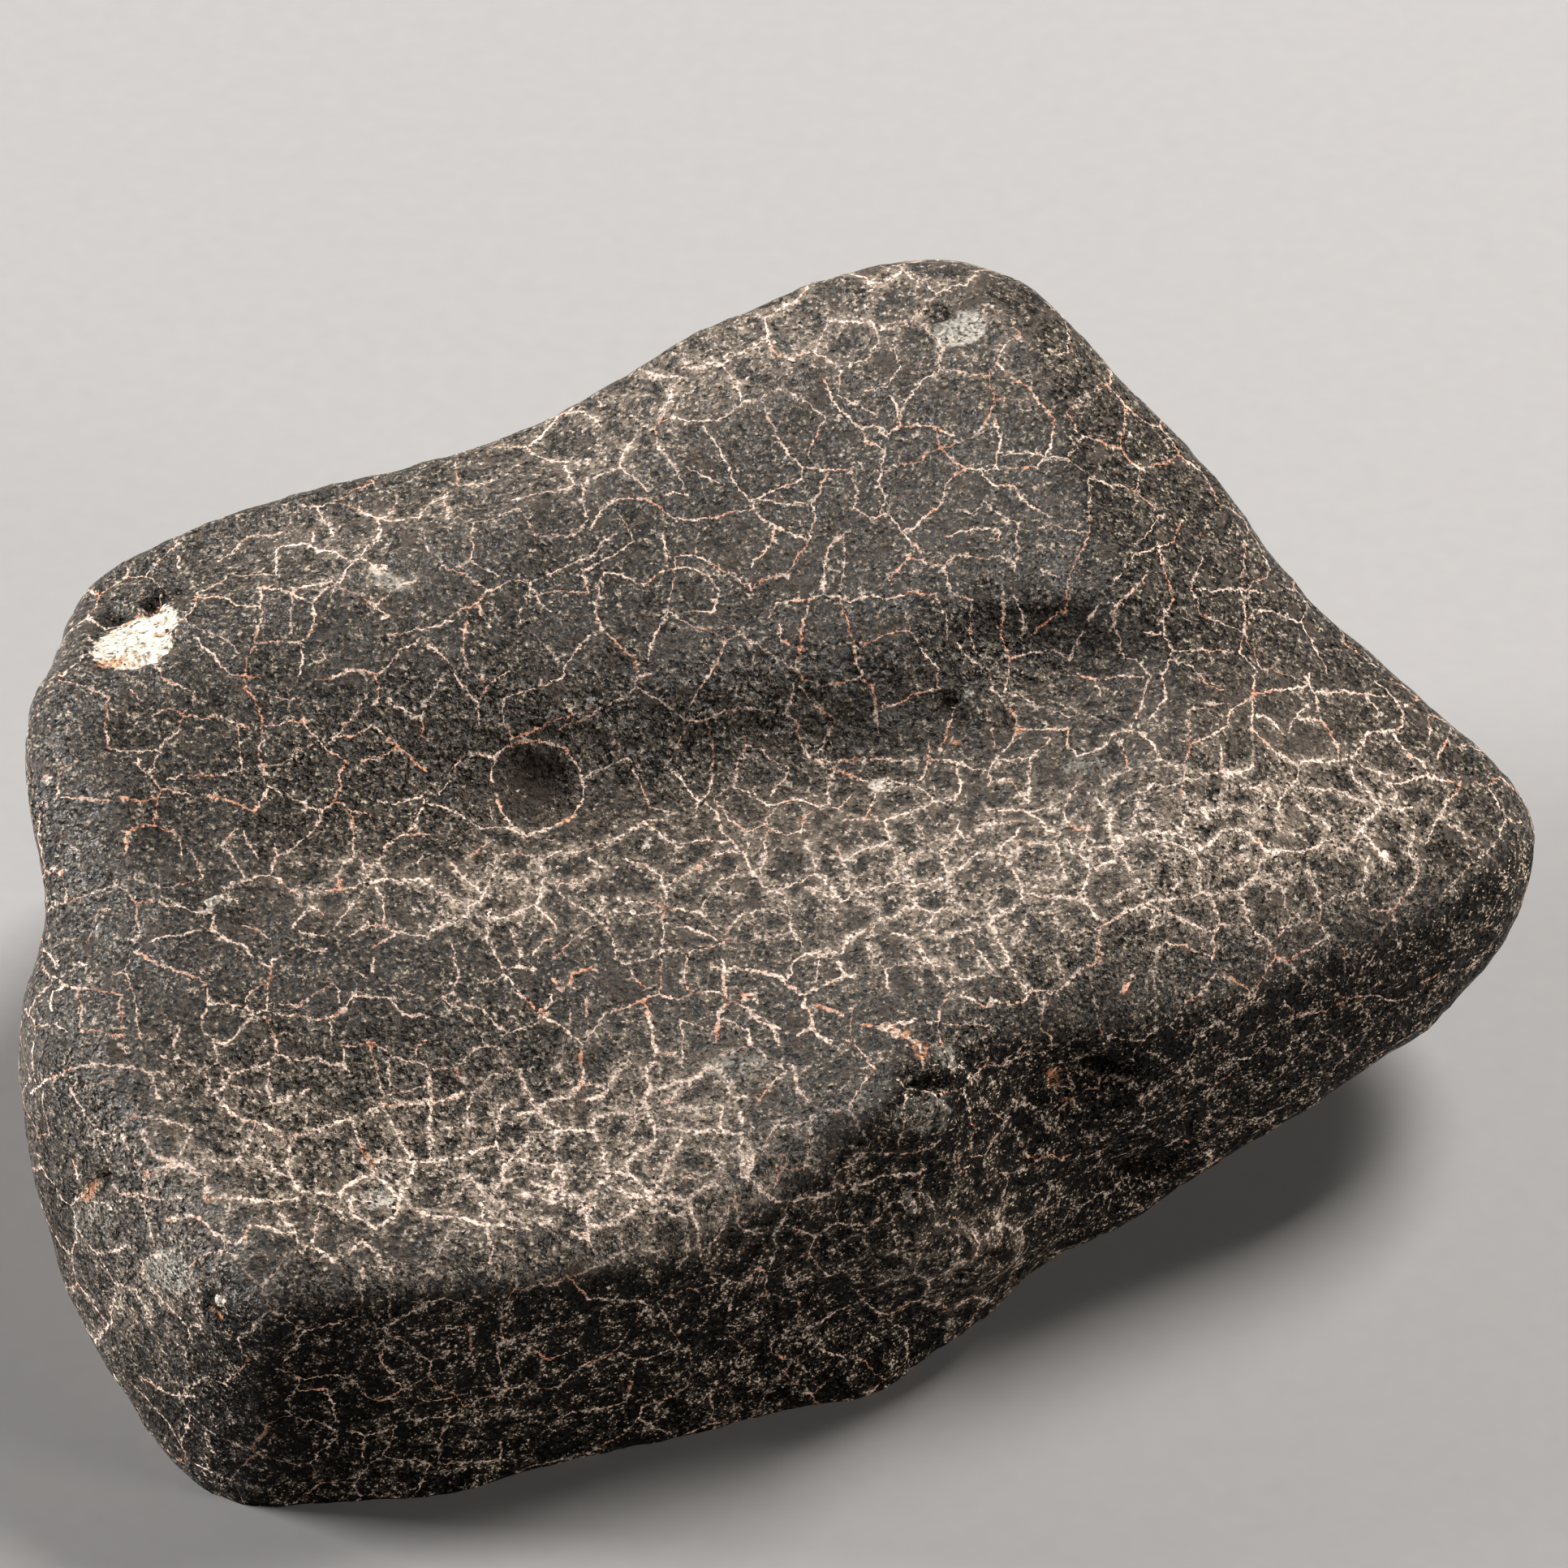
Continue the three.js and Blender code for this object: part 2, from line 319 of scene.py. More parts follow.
def drift(points, size, salt):
    """A chance swell in each of three directions."""
    return np.stack([swell(points, size, salt + 1000 * k) for k in (1, 2, 3)], -1)


# ---- places in the main view ----


def marks_of(points):
    """Where points stand in the main view's frame: across and down, over depth from the eye."""
    away = points - EYE
    depth = away @ VIEW_INTO
    across = away @ VIEW_RIGHT / depth * FOCUS / STEP
    up = away @ VIEW_UP / depth * FOCUS / STEP
    return np.stack([FRAME_STEPS / 2 + across, FRAME_STEPS / 2 - up], -1)


def onto_stone(marks):
    """The points of the form behind marks in the main view, and whether there is one: each
    sight line is stepped along until it is inside the stone, then halved."""
    marks = np.asarray(marks, float)
    across = (marks[:, 0] - FRAME_STEPS / 2) * STEP
    up = (FRAME_STEPS / 2 - marks[:, 1]) * STEP
    sight = FOCUS * VIEW_INTO + across[:, None] * VIEW_RIGHT + up[:, None] * VIEW_UP
    sight /= np.linalg.norm(sight, axis=1, keepdims=True)
    along = EYE + sight[:, None, :] * SIGHT_SEARCH[None, :, None]
    inside = height_over(along.reshape(-1, 3)).reshape(len(marks), -1) < 0
    first = SIGHT_SEARCH[np.argmax(inside, axis=1)]
    met = halved(EYE, sight, first, first - SIGHT_STEP, SIGHT_HALVINGS)
    return met, inside.any(axis=1)


def oval(marks, x, y, half_width, half_height, turn=0):
    """Distance from an oval's middle in the main view, which is 1 on its edge."""
    a = math.radians(turn)
    dx, dy = marks[:, 0] - x, marks[:, 1] - y
    return np.hypot(
        (dx * math.cos(a) + dy * math.sin(a)) / half_width,
        (dy * math.cos(a) - dx * math.sin(a)) / half_height,
    )


def on_scarp(marks):
    """How much of the scarp is at each mark: a bell over its oval."""
    return np.exp(-oval(marks, *SCARP) ** 2)


def below_rim(marks):
    """How far each mark is below the edge over the front faces."""
    return marks[:, 1] - np.interp(marks[:, 0], *zip(*RIM))


def relief(points, marks, seen):
    """Height of the crust's relief over the form: chance swells of four sizes, low ledges
    along the scarp, and the hollows, each deepest over its flat share and closed at its edge."""
    height = sum(high * swell(points, size, salt) for salt, (high, size) in enumerate(SWELLS, 1))
    ledge = swell(points + drift(points, 3, 5), LEDGE_SIZE, 6)
    height -= (LEDGE_HEIGHT + LEDGE_ON_SCARP * seen * on_scarp(marks)) * np.abs(ledge)
    for x, y, half_width, half_height, turn, depth, flat in HOLLOWS.values():
        away = oval(marks, x, y, half_width, half_height, turn)
        height -= seen * depth * (1 - smooth(away, flat, 1.05))
    return height


# ---- the crack net ----


def in_parts(work, points, parts):
    """The work done on the points a part at a time, which takes less memory."""
    return np.concatenate([work(part) for part in np.array_split(points, parts)])


def seeds_among(points, spacing, salt):
    """Middles of the net's cells: points taken in a stirred order, each clearing the room
    around it, until none is left."""
    stirred = np.random.default_rng(salt).permutation(len(points))
    free = np.ones(len(points), bool)
    seeds = []
    while True:
        waiting = free[stirred]
        if not waiting.any():
            return np.array(seeds)
        pick = stirred[np.argmax(waiting)]
        seeds.append(pick)
        near = ((points - points[pick]) ** 2).sum(1) < spacing[pick] ** 2
        free[near] = False
        free[pick] = False


def nearest_seed(points, seeds):
    """Number of the seed nearest to each point."""
    square = (seeds**2).sum(1)
    return in_parts(lambda part: np.argmin(square - 2 * part @ seeds.T, axis=1), points, 80)


def cell_borders(labels, quads, middles):
    """Borders of the net's cells as pairs of end points: a quad whose corners lie in three
    cells is where they meet, and two meetings that share two cells end one border."""
    corner = np.sort(labels[quads], axis=1)
    several = (np.diff(corner, axis=1) != 0).sum(1) >= 2
    corner, place = corner[several], middles[several]
    choices = ([0, 1, 2], [0, 1, 3], [0, 2, 3], [1, 2, 3])
    triples = np.concatenate([corner[:, c] for c in choices])
    places = np.tile(place, (4, 1))
    good = (triples[:, 0] != triples[:, 1]) & (triples[:, 1] != triples[:, 2])
    triples, places = triples[good], places[good]
    meetings, which, count = np.unique(triples, axis=0, return_inverse=True, return_counts=True)
    which = which.reshape(-1)
    spots = np.stack([np.bincount(which, places[:, k]) for k in range(3)], -1) / count[:, None]
    pairs = np.concatenate([meetings[:, [0, 1]], meetings[:, [0, 2]], meetings[:, [1, 2]]])
    owner = np.tile(np.arange(len(meetings)), 3)
    order = np.lexsort((owner, pairs[:, 1], pairs[:, 0]))
    pairs, owner = pairs[order], owner[order]
    same = (pairs[1:] == pairs[:-1]).all(1)
    return spots[owner[:-1][same]], spots[owner[1:][same]]


def onto_form(points):
    """Points moved along the normal onto the form, in two steps."""
    for _ in range(2):
        points = points - outward_at(points) * height_over(points)[:, None]
    return points


def pieces_near(places, starts, ends, count, reach):
    """For each place, the numbers of the line pieces nearest to it, or -1. Pieces are sorted
    into boxes by their middles, and each place tries a few from its own box and the 26 around
    it: the gap to a piece is the distance to the nearest point between its ends."""
    boxes = np.floor((starts + ends) / 2 / reach).astype(np.int64)
    low = boxes.min(0) - 1
    span = boxes.max(0) - low + 2

    def key_of(box):
        inside = np.clip(box - low, 0, span - 1)
        return (inside[:, 0] * span[1] + inside[:, 1]) * span[2] + inside[:, 2]

    keys = key_of(boxes)
    order = np.argsort(keys, kind="stable")
    keys = keys[order]

    def nearest(part):
        home = np.floor(part / reach).astype(np.int64)
        tries = []
        for step in np.ndindex(3, 3, 3):
            key = key_of(home + np.array(step) - 1)
            first = np.searchsorted(keys, key)
            for slot in range(TRIED_PER_BOX):
                at = np.minimum(first + slot, len(keys) - 1)
                tries.append(np.where(keys[at] == key, order[at], -1))
        tries = np.stack(tries, 1)
        start, run = starts[tries], ends[tries] - starts[tries]
        share = ((part[:, None] - start) * run).sum(-1) / np.maximum((run**2).sum(-1), 1e-9)
        gap = part[:, None] - start - run * np.clip(share, 0, 1)[..., None]
        far = np.where(tries < 0, 1e6, (gap**2).sum(-1))
        pick = np.argsort(far, axis=1)[:, :count]
        chosen = np.take_along_axis(tries, pick, 1)
        return np.where(np.take_along_axis(far, pick, 1) > (2 * reach) ** 2, -1, chosen)

    return in_parts(nearest, places, 24)


# The chance net, in millimetres: how far apart the middles of its cells are, how much closer on
# pale floors, how much this swells and varies by luck, and the least that it may be. Then how
# long its borders are.
CELL_SPACING = 2.1
CLOSER_ON_PALE = 0.9
SPACING_SWELL = 0.5
SPACING_LUCK = 0.25
LEAST_SPACING = 0.8
BORDER_LENGTHS = (0.08, 5)

# Half widths of its cracks, from the least lucky, which are left out, to the luckiest.
CRACK_LUCK = (0, 0.2, 0.24, 0.55, 0.85, 1)
LUCKY_WIDTHS = (0, 0, 0.02, 0.032, 0.046, 0.056)
LEAST_WIDTH = 0.004
NEAR_PLACED = 3  # nearer to a placed crack than this, chance ones are fainter
WIDTH_NEAR_PLACED = 0.75
CLEAR_OF_PLACED = 0.6  # and nearer than this there are none
FAINTER_ON_FRONT = 0.45

# Crack pieces that each quad keeps: how many, how far away, how many are tried in a box of that
# size, and a place far from the stone for those that there are not.
CRACKS_PER_QUAD = 3
CRACK_REACH = 0.75
TRIED_PER_BOX = 6
NOWHERE = (0.0, 0.0, -900.0)

# The placed cracks, in the main view: half width in millimetres, then each crack's marks, across
# and down in turn.
CRACKS = {
    "middle, around the round pit": (
        0.04,
        (555, 759, 582, 746, 601, 729, 632, 715, 653, 718, 683, 705, 706, 693, 729, 687, 743, 667,
        760, 656),
        (653, 718, 665, 742, 680, 754),
        (602, 728, 574, 710, 551, 702, 525, 673, 516, 639),
        (590, 746, 594, 759, 605, 773),
        (517, 782, 548, 811, 565, 838, 578, 855, 590, 865, 591, 895),
        (626, 826, 603, 842, 592, 861),
        (745, 704, 737, 723, 733, 754, 743, 775, 764, 796, 781, 811, 785, 826),
        (745, 704, 768, 708, 793, 721, 820, 702, 846, 696, 872, 708, 886, 728, 878, 754, 855,
        751),
        (802, 830, 785, 834, 781, 851, 764, 863, 745, 868, 730, 880, 709, 889, 688, 899),
        (785, 847, 806, 859, 825, 872, 844, 886, 867, 888, 890, 878, 913, 873, 936, 875, 955,
        877),
        (871, 889, 877, 914, 879, 937, 877, 964, 873, 976, 862, 987, 856, 1002),
        (829, 949, 844, 964, 854, 981, 862, 987),
        (867, 987, 883, 1002, 890, 1025, 902, 1039, 917, 1052, 925, 1071, 940, 1092, 959, 1102),
        (917, 1048, 894, 1050, 873, 1058, 856, 1073, 837, 1083, 821, 1094),
        (542, 977, 554, 960, 557, 945, 573, 932, 592, 930, 611, 932),
        (500, 985, 519, 981, 534, 989, 550, 993, 573, 1006, 592, 1018, 626, 1018, 642, 1027, 657,
        1025, 688, 1018, 707, 1006),
        (609, 1050, 638, 1050, 666, 1060, 688, 1052, 714, 1052, 737, 1043, 768, 1031, 783, 1021,
        799, 1012, 825, 1012),
        (666, 1060, 670, 1083, 665, 1102, 661, 1115, 684, 1140, 688, 1150),
        (609, 1050, 611, 1067, 601, 1087, 594, 1106, 580, 1115, 577, 1125, 601, 1131, 634, 1125,
        659, 1115),
        (557, 1060, 565, 1073, 580, 1087, 596, 1100),
        (577, 1127, 554, 1138, 531, 1146, 527, 1157),
        (600, 1132, 600, 1155, 611, 1175, 622, 1198, 634, 1217, 653, 1236, 672, 1253, 691, 1264,
        716, 1284),
        (622, 1196, 638, 1190, 661, 1194),
        (657, 1178, 665, 1165, 680, 1155),
        (590, 1211, 611, 1207, 622, 1198),
        (563, 1236, 592, 1243, 611, 1261, 626, 1274, 653, 1264, 665, 1259),
        (768, 1062, 795, 1067, 814, 1083, 821, 1102, 818, 1125, 818, 1152, 814, 1178, 814, 1213,
        810, 1224),
        (726, 1060, 745, 1075),
        (737, 1125, 745, 1106, 768, 1111, 791, 1113, 814, 1117),
        (821, 1138, 844, 1142, 864, 1148, 883, 1157, 902, 1155),
        (716, 1287, 730, 1270, 745, 1247, 768, 1240, 791, 1232, 810, 1224, 833, 1230, 860, 1222,
        883, 1220, 898, 1232, 921, 1242, 940, 1253, 959, 1266, 959, 1286),
        (963, 1209, 975, 1198, 976, 1186, 990, 1176, 1013, 1175, 1036, 1175, 1047, 1155, 1066,
        1148),
        (940, 1092, 967, 1106, 973, 1125, 975, 1148, 988, 1165),
        (959, 1096, 982, 1090, 1005, 1079, 1001, 1056, 994, 1041),
        (1005, 1079, 1024, 1096, 1036, 1113, 1051, 1102, 1097, 1090),
        (909, 972, 929, 979, 944, 993, 978, 987, 1009, 993, 1032, 998, 1051, 976),
        (947, 759, 958, 742, 987, 739, 1015, 731, 1034, 733, 1046, 739, 1069, 733, 1096, 737,
        1122, 729, 1153, 731, 1157, 744, 1166, 760, 1168, 783),
        (1017, 700, 1013, 719, 1017, 731),
        (961, 769, 961, 788, 986, 801, 980, 822, 990, 838, 1013, 845, 1036, 842, 1063, 834),
        (994, 746, 988, 777, 988, 801),
        (1034, 733, 1042, 760, 1050, 786, 1057, 817, 1063, 834),
        (978, 842, 975, 865, 965, 880, 982, 891, 986, 914, 998, 937),
    ),
    "upper slope": (
        0.038,
        (430, 624, 464, 639, 482, 644, 516, 639, 530, 621, 551, 613),
        (817, 656, 823, 696),
        (729, 650, 740, 627, 763, 613, 797, 613, 815, 627, 832, 639, 866, 639, 901, 630, 927,
        627),
        (866, 527, 883, 547, 898, 576, 906, 596, 927, 621, 938, 639, 955, 647, 952, 667, 924,
        696),
        (846, 576, 866, 587, 886, 593),
        (927, 616, 958, 601, 987, 590, 990, 573, 1016, 578, 1050, 576),
        (944, 512, 958, 535, 972, 561, 990, 573),
        (958, 650, 981, 659, 995, 667),
        (1016, 466, 1030, 501, 1056, 524),
        (1039, 656, 1021, 673, 1016, 702, 1016, 731),
    ),
    "high corner and scarp": (
        0.04,
        (1101, 423, 1107, 454, 1092, 478, 1065, 482),
        (1096, 488, 1105, 500, 1107, 519, 1111, 526, 1092, 536, 1080, 526, 1054, 524),
        (1111, 526, 1134, 524, 1153, 528, 1176, 538),
        (1153, 528, 1157, 549, 1172, 565, 1191, 576, 1214, 578, 1245, 578, 1264, 576, 1279, 576,
        1295, 549, 1298, 526, 1300, 515, 1287, 500, 1268, 477, 1245, 461, 1226, 446),
        (1191, 576, 1165, 595, 1161, 618, 1140, 635, 1126, 649, 1115, 651),
        (1061, 530, 1073, 547, 1090, 555, 1086, 580, 1082, 599, 1092, 610, 1084, 630),
        (1048, 580, 1057, 607, 1052, 626, 1073, 637, 1092, 630, 1107, 645, 1119, 664, 1134, 679),
        (1207, 580, 1226, 599, 1249, 597, 1260, 614, 1276, 626, 1291, 635),
        (1226, 515, 1233, 542, 1226, 576),
        (1165, 660, 1191, 653, 1214, 649, 1230, 653, 1230, 664),
        (1061, 838, 1077, 848, 1078, 871, 1082, 901),
        (1180, 794, 1199, 813, 1218, 825, 1224, 852, 1230, 855, 1245, 875, 1256, 894, 1245, 917,
        1230, 932, 1220, 951, 1220, 970),
        (1245, 811, 1268, 804, 1302, 802, 1318, 813, 1325, 794, 1333, 779),
        (1237, 729, 1237, 760, 1233, 783, 1243, 809, 1243, 829, 1237, 852),
        (1306, 829, 1329, 831, 1348, 836, 1375, 832, 1409, 832),
        (1348, 836, 1356, 855),
        (1256, 899, 1283, 898, 1314, 898, 1316, 917, 1329, 930, 1360, 920, 1371, 901, 1402, 899,
        1421, 917, 1429, 936, 1455, 945, 1467, 917, 1494, 907, 1513, 894, 1515, 875, 1536, 863),
        (1543, 898, 1545, 859, 1547, 825, 1528, 802, 1536, 760, 1530, 725, 1536, 668, 1547, 637),
        (1475, 725, 1498, 729, 1528, 725, 1555, 729, 1597, 725),
        (1459, 637, 1444, 668, 1421, 676, 1398, 685, 1379, 710, 1367, 721),
        (1427, 676, 1436, 706, 1446, 737, 1436, 760, 1434, 779, 1446, 802, 1432, 829, 1438, 859,
        1417, 882),
        (1409, 779, 1432, 779),
        (1446, 802, 1475, 800, 1498, 802, 1520, 802),
        (1341, 764, 1356, 743, 1383, 746),
        (1283, 702, 1306, 710),
        (1000, 938, 1046, 936, 1096, 934, 1115, 940, 1145, 936, 1180, 943, 1218, 951),
        (1145, 917, 1144, 936, 1142, 955, 1132, 966),
    ),
    "front trough, left": (
        0.076,
        (268, 1352, 284, 1373, 299, 1380, 322, 1384, 345, 1400),
        (177, 1396, 188, 1422, 222, 1434, 242, 1447, 257, 1449, 255, 1476),
        (182, 1447, 207, 1436, 222, 1434),
        (253, 1478, 280, 1478, 299, 1476, 330, 1480, 349, 1478, 372, 1474),
        (345, 1495, 360, 1514),
        (429, 1545, 448, 1526, 452, 1533, 471, 1549),
        (360, 1403, 354, 1426, 360, 1453, 372, 1468, 399, 1468, 418, 1472, 425, 1461, 444, 1449,
        462, 1444),
        (364, 1399, 383, 1394, 410, 1384, 433, 1377, 439, 1400, 452, 1422, 462, 1444, 479, 1461,
        490, 1472),
        (429, 1472, 437, 1495, 464, 1512, 487, 1495, 494, 1472, 506, 1449, 511, 1430),
        (452, 1428, 483, 1428, 511, 1430, 540, 1430, 567, 1424, 590, 1417, 611, 1411),
        (529, 1323, 531, 1357, 529, 1392, 532, 1426),
        (529, 1357, 506, 1359, 467, 1363, 452, 1371),
        (532, 1359, 555, 1354, 575, 1344),
        (611, 1411, 613, 1384, 615, 1365, 632, 1359),
        (611, 1411, 622, 1430, 619, 1453, 609, 1468, 594, 1480, 594, 1503),
        (513, 1488, 536, 1499, 563, 1499, 594, 1509, 609, 1512, 634, 1510),
        (599, 1514, 605, 1533, 603, 1556),
        (569, 1447, 584, 1457, 598, 1472),
    ),
    "strong, front trough": (
        0.07,
        (207, 1503, 238, 1497, 253, 1507, 268, 1522, 288, 1533, 303, 1526, 307, 1509),
        (318, 1509, 345, 1518, 364, 1518, 368, 1530, 399, 1541, 408, 1551),
    ),
    "front face, faint": (
        0.042,
        (479, 1564, 479, 1606, 475, 1660, 467, 1675, 494, 1709),
        (368, 1715, 402, 1711, 410, 1732, 414, 1752),
        (487, 1648, 513, 1644, 548, 1637, 578, 1633, 580, 1667),
        (605, 1644, 628, 1654, 651, 1660, 678, 1675, 697, 1667),
        (521, 1725, 552, 1723, 578, 1717),
        (429, 1763, 448, 1767, 471, 1761),
        (448, 1767, 446, 1794),
        (169, 1698, 196, 1713, 215, 1719, 242, 1721),
    ),
    "front notch": (
        0.04,
        (1106, 1329, 1118, 1340, 1134, 1343, 1147, 1345, 1157, 1354, 1172, 1347, 1188, 1341, 1202,
        1326, 1217, 1313, 1232, 1315, 1243, 1304, 1255, 1298, 1264, 1289),
        (1232, 1315, 1250, 1306, 1280, 1300),
        (1217, 1313, 1219, 1300, 1212, 1289, 1213, 1276, 1221, 1270),
        (1189, 1342, 1196, 1360, 1199, 1378, 1203, 1392, 1199, 1408, 1196, 1418),
        (1118, 1342, 1114, 1360, 1115, 1378, 1109, 1398, 1107, 1413),
        (1157, 1354, 1155, 1362),
        (1186, 1418, 1180, 1430, 1183, 1446),
        (1295, 1345, 1298, 1330, 1307, 1318, 1308, 1309, 1317, 1320, 1320, 1335, 1325, 1343),
        (1295, 1345, 1306, 1342, 1322, 1344),
        (1335, 1345, 1352, 1341, 1358, 1335, 1372, 1335),
        (1327, 1307, 1340, 1311, 1365, 1312),
        (1320, 1352, 1312, 1362, 1306, 1368, 1304, 1376),
        (1262, 1421, 1279, 1430, 1296, 1424, 1309, 1431, 1322, 1424),
        (1338, 1430, 1349, 1424, 1359, 1428, 1352, 1419),
        (1372, 1431, 1386, 1424, 1399, 1427, 1413, 1418),
        (1436, 1414, 1452, 1404, 1466, 1409),
    ),
    "left end": (
        0.045,
        (89, 1216, 150, 1224, 147, 1232, 156, 1312),
        (142, 1390, 166, 1375, 214, 1383, 236, 1391, 220, 1426, 252, 1449, 252, 1481),
    ),
    "left plateau": (
        0.042,
        (341, 676, 341, 690, 340, 708),
        (341, 676, 352, 673, 374, 672, 394, 678, 411, 680, 422, 687, 430, 693, 436, 691, 444, 686,
        452, 675, 466, 666, 469, 657, 465, 640),
        (436, 691, 427, 702, 422, 712, 413, 721, 402, 725, 391, 736, 386, 744, 388, 757, 387, 768,
        380, 782, 369, 791, 372, 807, 370, 823, 368, 834),
        (386, 744, 377, 741, 363, 734, 349, 728, 336, 726, 324, 721, 322, 729, 320, 746, 323, 754,
        320, 765, 316, 779, 315, 793),
        (320, 746, 308, 747, 291, 746, 280, 737, 269, 736, 249, 738),
        (319, 791, 336, 790, 349, 788, 369, 791),
        (242, 787, 249, 798, 263, 807, 272, 821, 286, 832, 302, 834, 322, 834),
        (304, 812, 301, 834, 301, 848, 311, 858, 319, 871, 322, 884, 324, 894),
        (324, 894, 341, 893, 355, 886, 372, 889, 380, 898, 388, 907, 397, 918, 411, 928, 427,
        941),
        (427, 941, 419, 950, 419, 968, 416, 979, 411, 987, 399, 996, 394, 1009, 388, 1021, 374,
        1034, 363, 1043, 352, 1050, 341, 1054, 336, 1068, 333, 1078),
        (338, 1043, 341, 1054),
        (411, 987, 422, 990, 433, 998, 447, 1001, 458, 1004),
        (433, 998, 434, 1012, 436, 1029, 434, 1043, 437, 1054, 430, 1061, 419, 1068, 416, 1082,
        416, 1090, 424, 1098),
        (437, 1054, 447, 1062, 449, 1073, 454, 1082),
        (447, 1064, 458, 1064, 466, 1059, 474, 1048, 477, 1037, 488, 1032, 502, 1026, 513, 1025,
        530, 1028),
        (466, 1062, 472, 1071, 476, 1082),
        (374, 1096, 391, 1097, 413, 1096, 424, 1098, 441, 1090, 461, 1086, 477, 1082, 502, 1084,
        513, 1082, 530, 1083),
        (399, 996, 383, 996, 366, 986, 349, 978, 338, 972, 331, 968),
        (331, 968, 324, 957, 327, 944, 319, 934, 319, 921, 324, 909, 324, 894),
        (331, 968, 327, 979, 319, 987, 316, 1000, 308, 1000, 294, 991, 277, 984, 258, 980),
        (236, 980, 224, 975, 211, 973, 197, 972, 191, 962, 183, 954, 174, 948, 169, 934),
        (183, 954, 191, 946, 192, 932, 198, 918, 202, 911, 211, 907, 220, 900, 222, 890, 226,
        882),
        (226, 882, 236, 880, 252, 886, 266, 880, 280, 884, 294, 891, 305, 897),
        (226, 882, 213, 875, 202, 876, 186, 882),
        (197, 972, 194, 987, 191, 1001, 190, 1014),
        (147, 1025, 158, 1025, 169, 1018, 180, 1015, 197, 1018, 211, 1022, 220, 1029, 224, 1043,
        222, 1054),
        (158, 1025, 156, 1037, 154, 1051),
        (74, 983, 91, 984, 108, 984, 124, 987, 136, 986),
        (149, 983, 163, 984, 177, 987, 190, 983),
        (161, 850, 169, 857, 177, 868),
        (292, 1021, 280, 1032, 277, 1040, 286, 1054, 294, 1065, 301, 1082),
        (55, 1123, 66, 1116, 86, 1109, 108, 1101, 127, 1096, 144, 1091, 138, 1083),
        (144, 1091, 155, 1098, 169, 1111, 188, 1109, 208, 1114, 224, 1115, 236, 1121, 252, 1122,
        261, 1121),
        (169, 1111, 168, 1123, 168, 1140),
        (272, 1104, 276, 1093, 288, 1087, 302, 1084, 316, 1080, 333, 1078, 344, 1082, 352, 1091,
        369, 1101),
        (272, 1107, 283, 1107, 294, 1109),
        (530, 798, 519, 783, 508, 794, 494, 801, 486, 812, 472, 826, 461, 832, 447, 826, 433, 825,
        416, 832, 402, 837, 388, 836),
        (461, 832, 466, 846, 466, 859, 462, 868),
        (411, 909, 422, 907, 433, 908, 447, 901, 458, 894),
        (458, 894, 472, 904, 480, 914, 488, 918, 502, 929, 513, 940, 527, 948),
        (491, 919, 477, 929, 466, 934, 447, 934),
        (455, 741, 469, 751, 477, 759),
        (444, 686, 455, 693, 466, 701),
        (466, 986, 486, 989, 502, 984, 519, 982, 527, 973),
        (524, 984, 516, 1001, 513, 1015, 505, 1021),
        (386, 657, 386, 669),
        (219, 686, 220, 700),
    ),
    "waist and front trough, left": (
        0.046,
        (51, 1188, 52, 1195, 66, 1203, 80, 1213, 91, 1218, 111, 1218, 127, 1221, 141, 1224, 149,
        1224),
        (79, 1216, 66, 1221, 63, 1232, 63, 1246),
        (162, 1166, 174, 1174, 184, 1182, 197, 1185, 213, 1192, 230, 1199, 247, 1204, 254, 1216,
        256, 1227, 256, 1241, 249, 1257, 252, 1268, 261, 1279, 265, 1285),
        (168, 1116, 168, 1132, 172, 1152, 162, 1157),
        (265, 1127, 263, 1141, 272, 1152, 286, 1159, 302, 1164, 308, 1174, 322, 1184, 333, 1191,
        334, 1199, 330, 1210, 330, 1227, 329, 1242),
        (333, 1191, 336, 1179, 349, 1178),
        (330, 1209, 319, 1213, 311, 1221, 304, 1227, 305, 1238),
        (256, 1236, 272, 1236, 288, 1237, 302, 1239, 313, 1249, 327, 1243, 344, 1249, 358, 1251,
        374, 1250, 391, 1256, 408, 1253, 424, 1246, 430, 1235, 437, 1225, 441, 1218),
        (437, 1227, 455, 1227, 472, 1229, 486, 1229),
        (408, 1253, 408, 1266, 408, 1279),
        (313, 1252, 305, 1257, 297, 1266, 291, 1277, 280, 1284, 265, 1288),
        (324, 1252, 334, 1257, 336, 1274, 341, 1282, 340, 1296, 331, 1310),
        (265, 1288, 268, 1302, 266, 1310, 274, 1313, 286, 1321, 302, 1318, 319, 1314, 331, 1311,
        330, 1327, 331, 1343, 334, 1359),
        (266, 1310, 258, 1313, 252, 1320, 241, 1313, 224, 1307, 211, 1304, 197, 1300),
        (252, 1320, 256, 1334, 255, 1352),
        (286, 1321, 280, 1332, 272, 1343, 258, 1352),
        (88, 1314, 108, 1313, 127, 1312, 147, 1314, 163, 1316, 180, 1320, 190, 1328, 190, 1341,
        197, 1354),
        (183, 1320, 197, 1321, 208, 1328),
        (86, 1317, 72, 1325, 61, 1329, 49, 1338, 36, 1346),
        (341, 1298, 355, 1303, 372, 1306, 388, 1302, 405, 1311, 422, 1310),
        (420, 1285, 423, 1296, 424, 1310, 430, 1324),
        (420, 1288, 436, 1289, 447, 1286, 461, 1288, 472, 1293, 486, 1302, 502, 1307, 524, 1311),
        (477, 1302, 480, 1316, 480, 1338),
        (524, 1311, 527, 1327, 529, 1343),
        (512, 1302, 513, 1288, 524, 1282),
        (334, 1359, 349, 1354, 366, 1349, 380, 1342),
        (381, 1114, 374, 1128, 363, 1135, 359, 1143),
        (381, 1114, 391, 1121, 399, 1125),
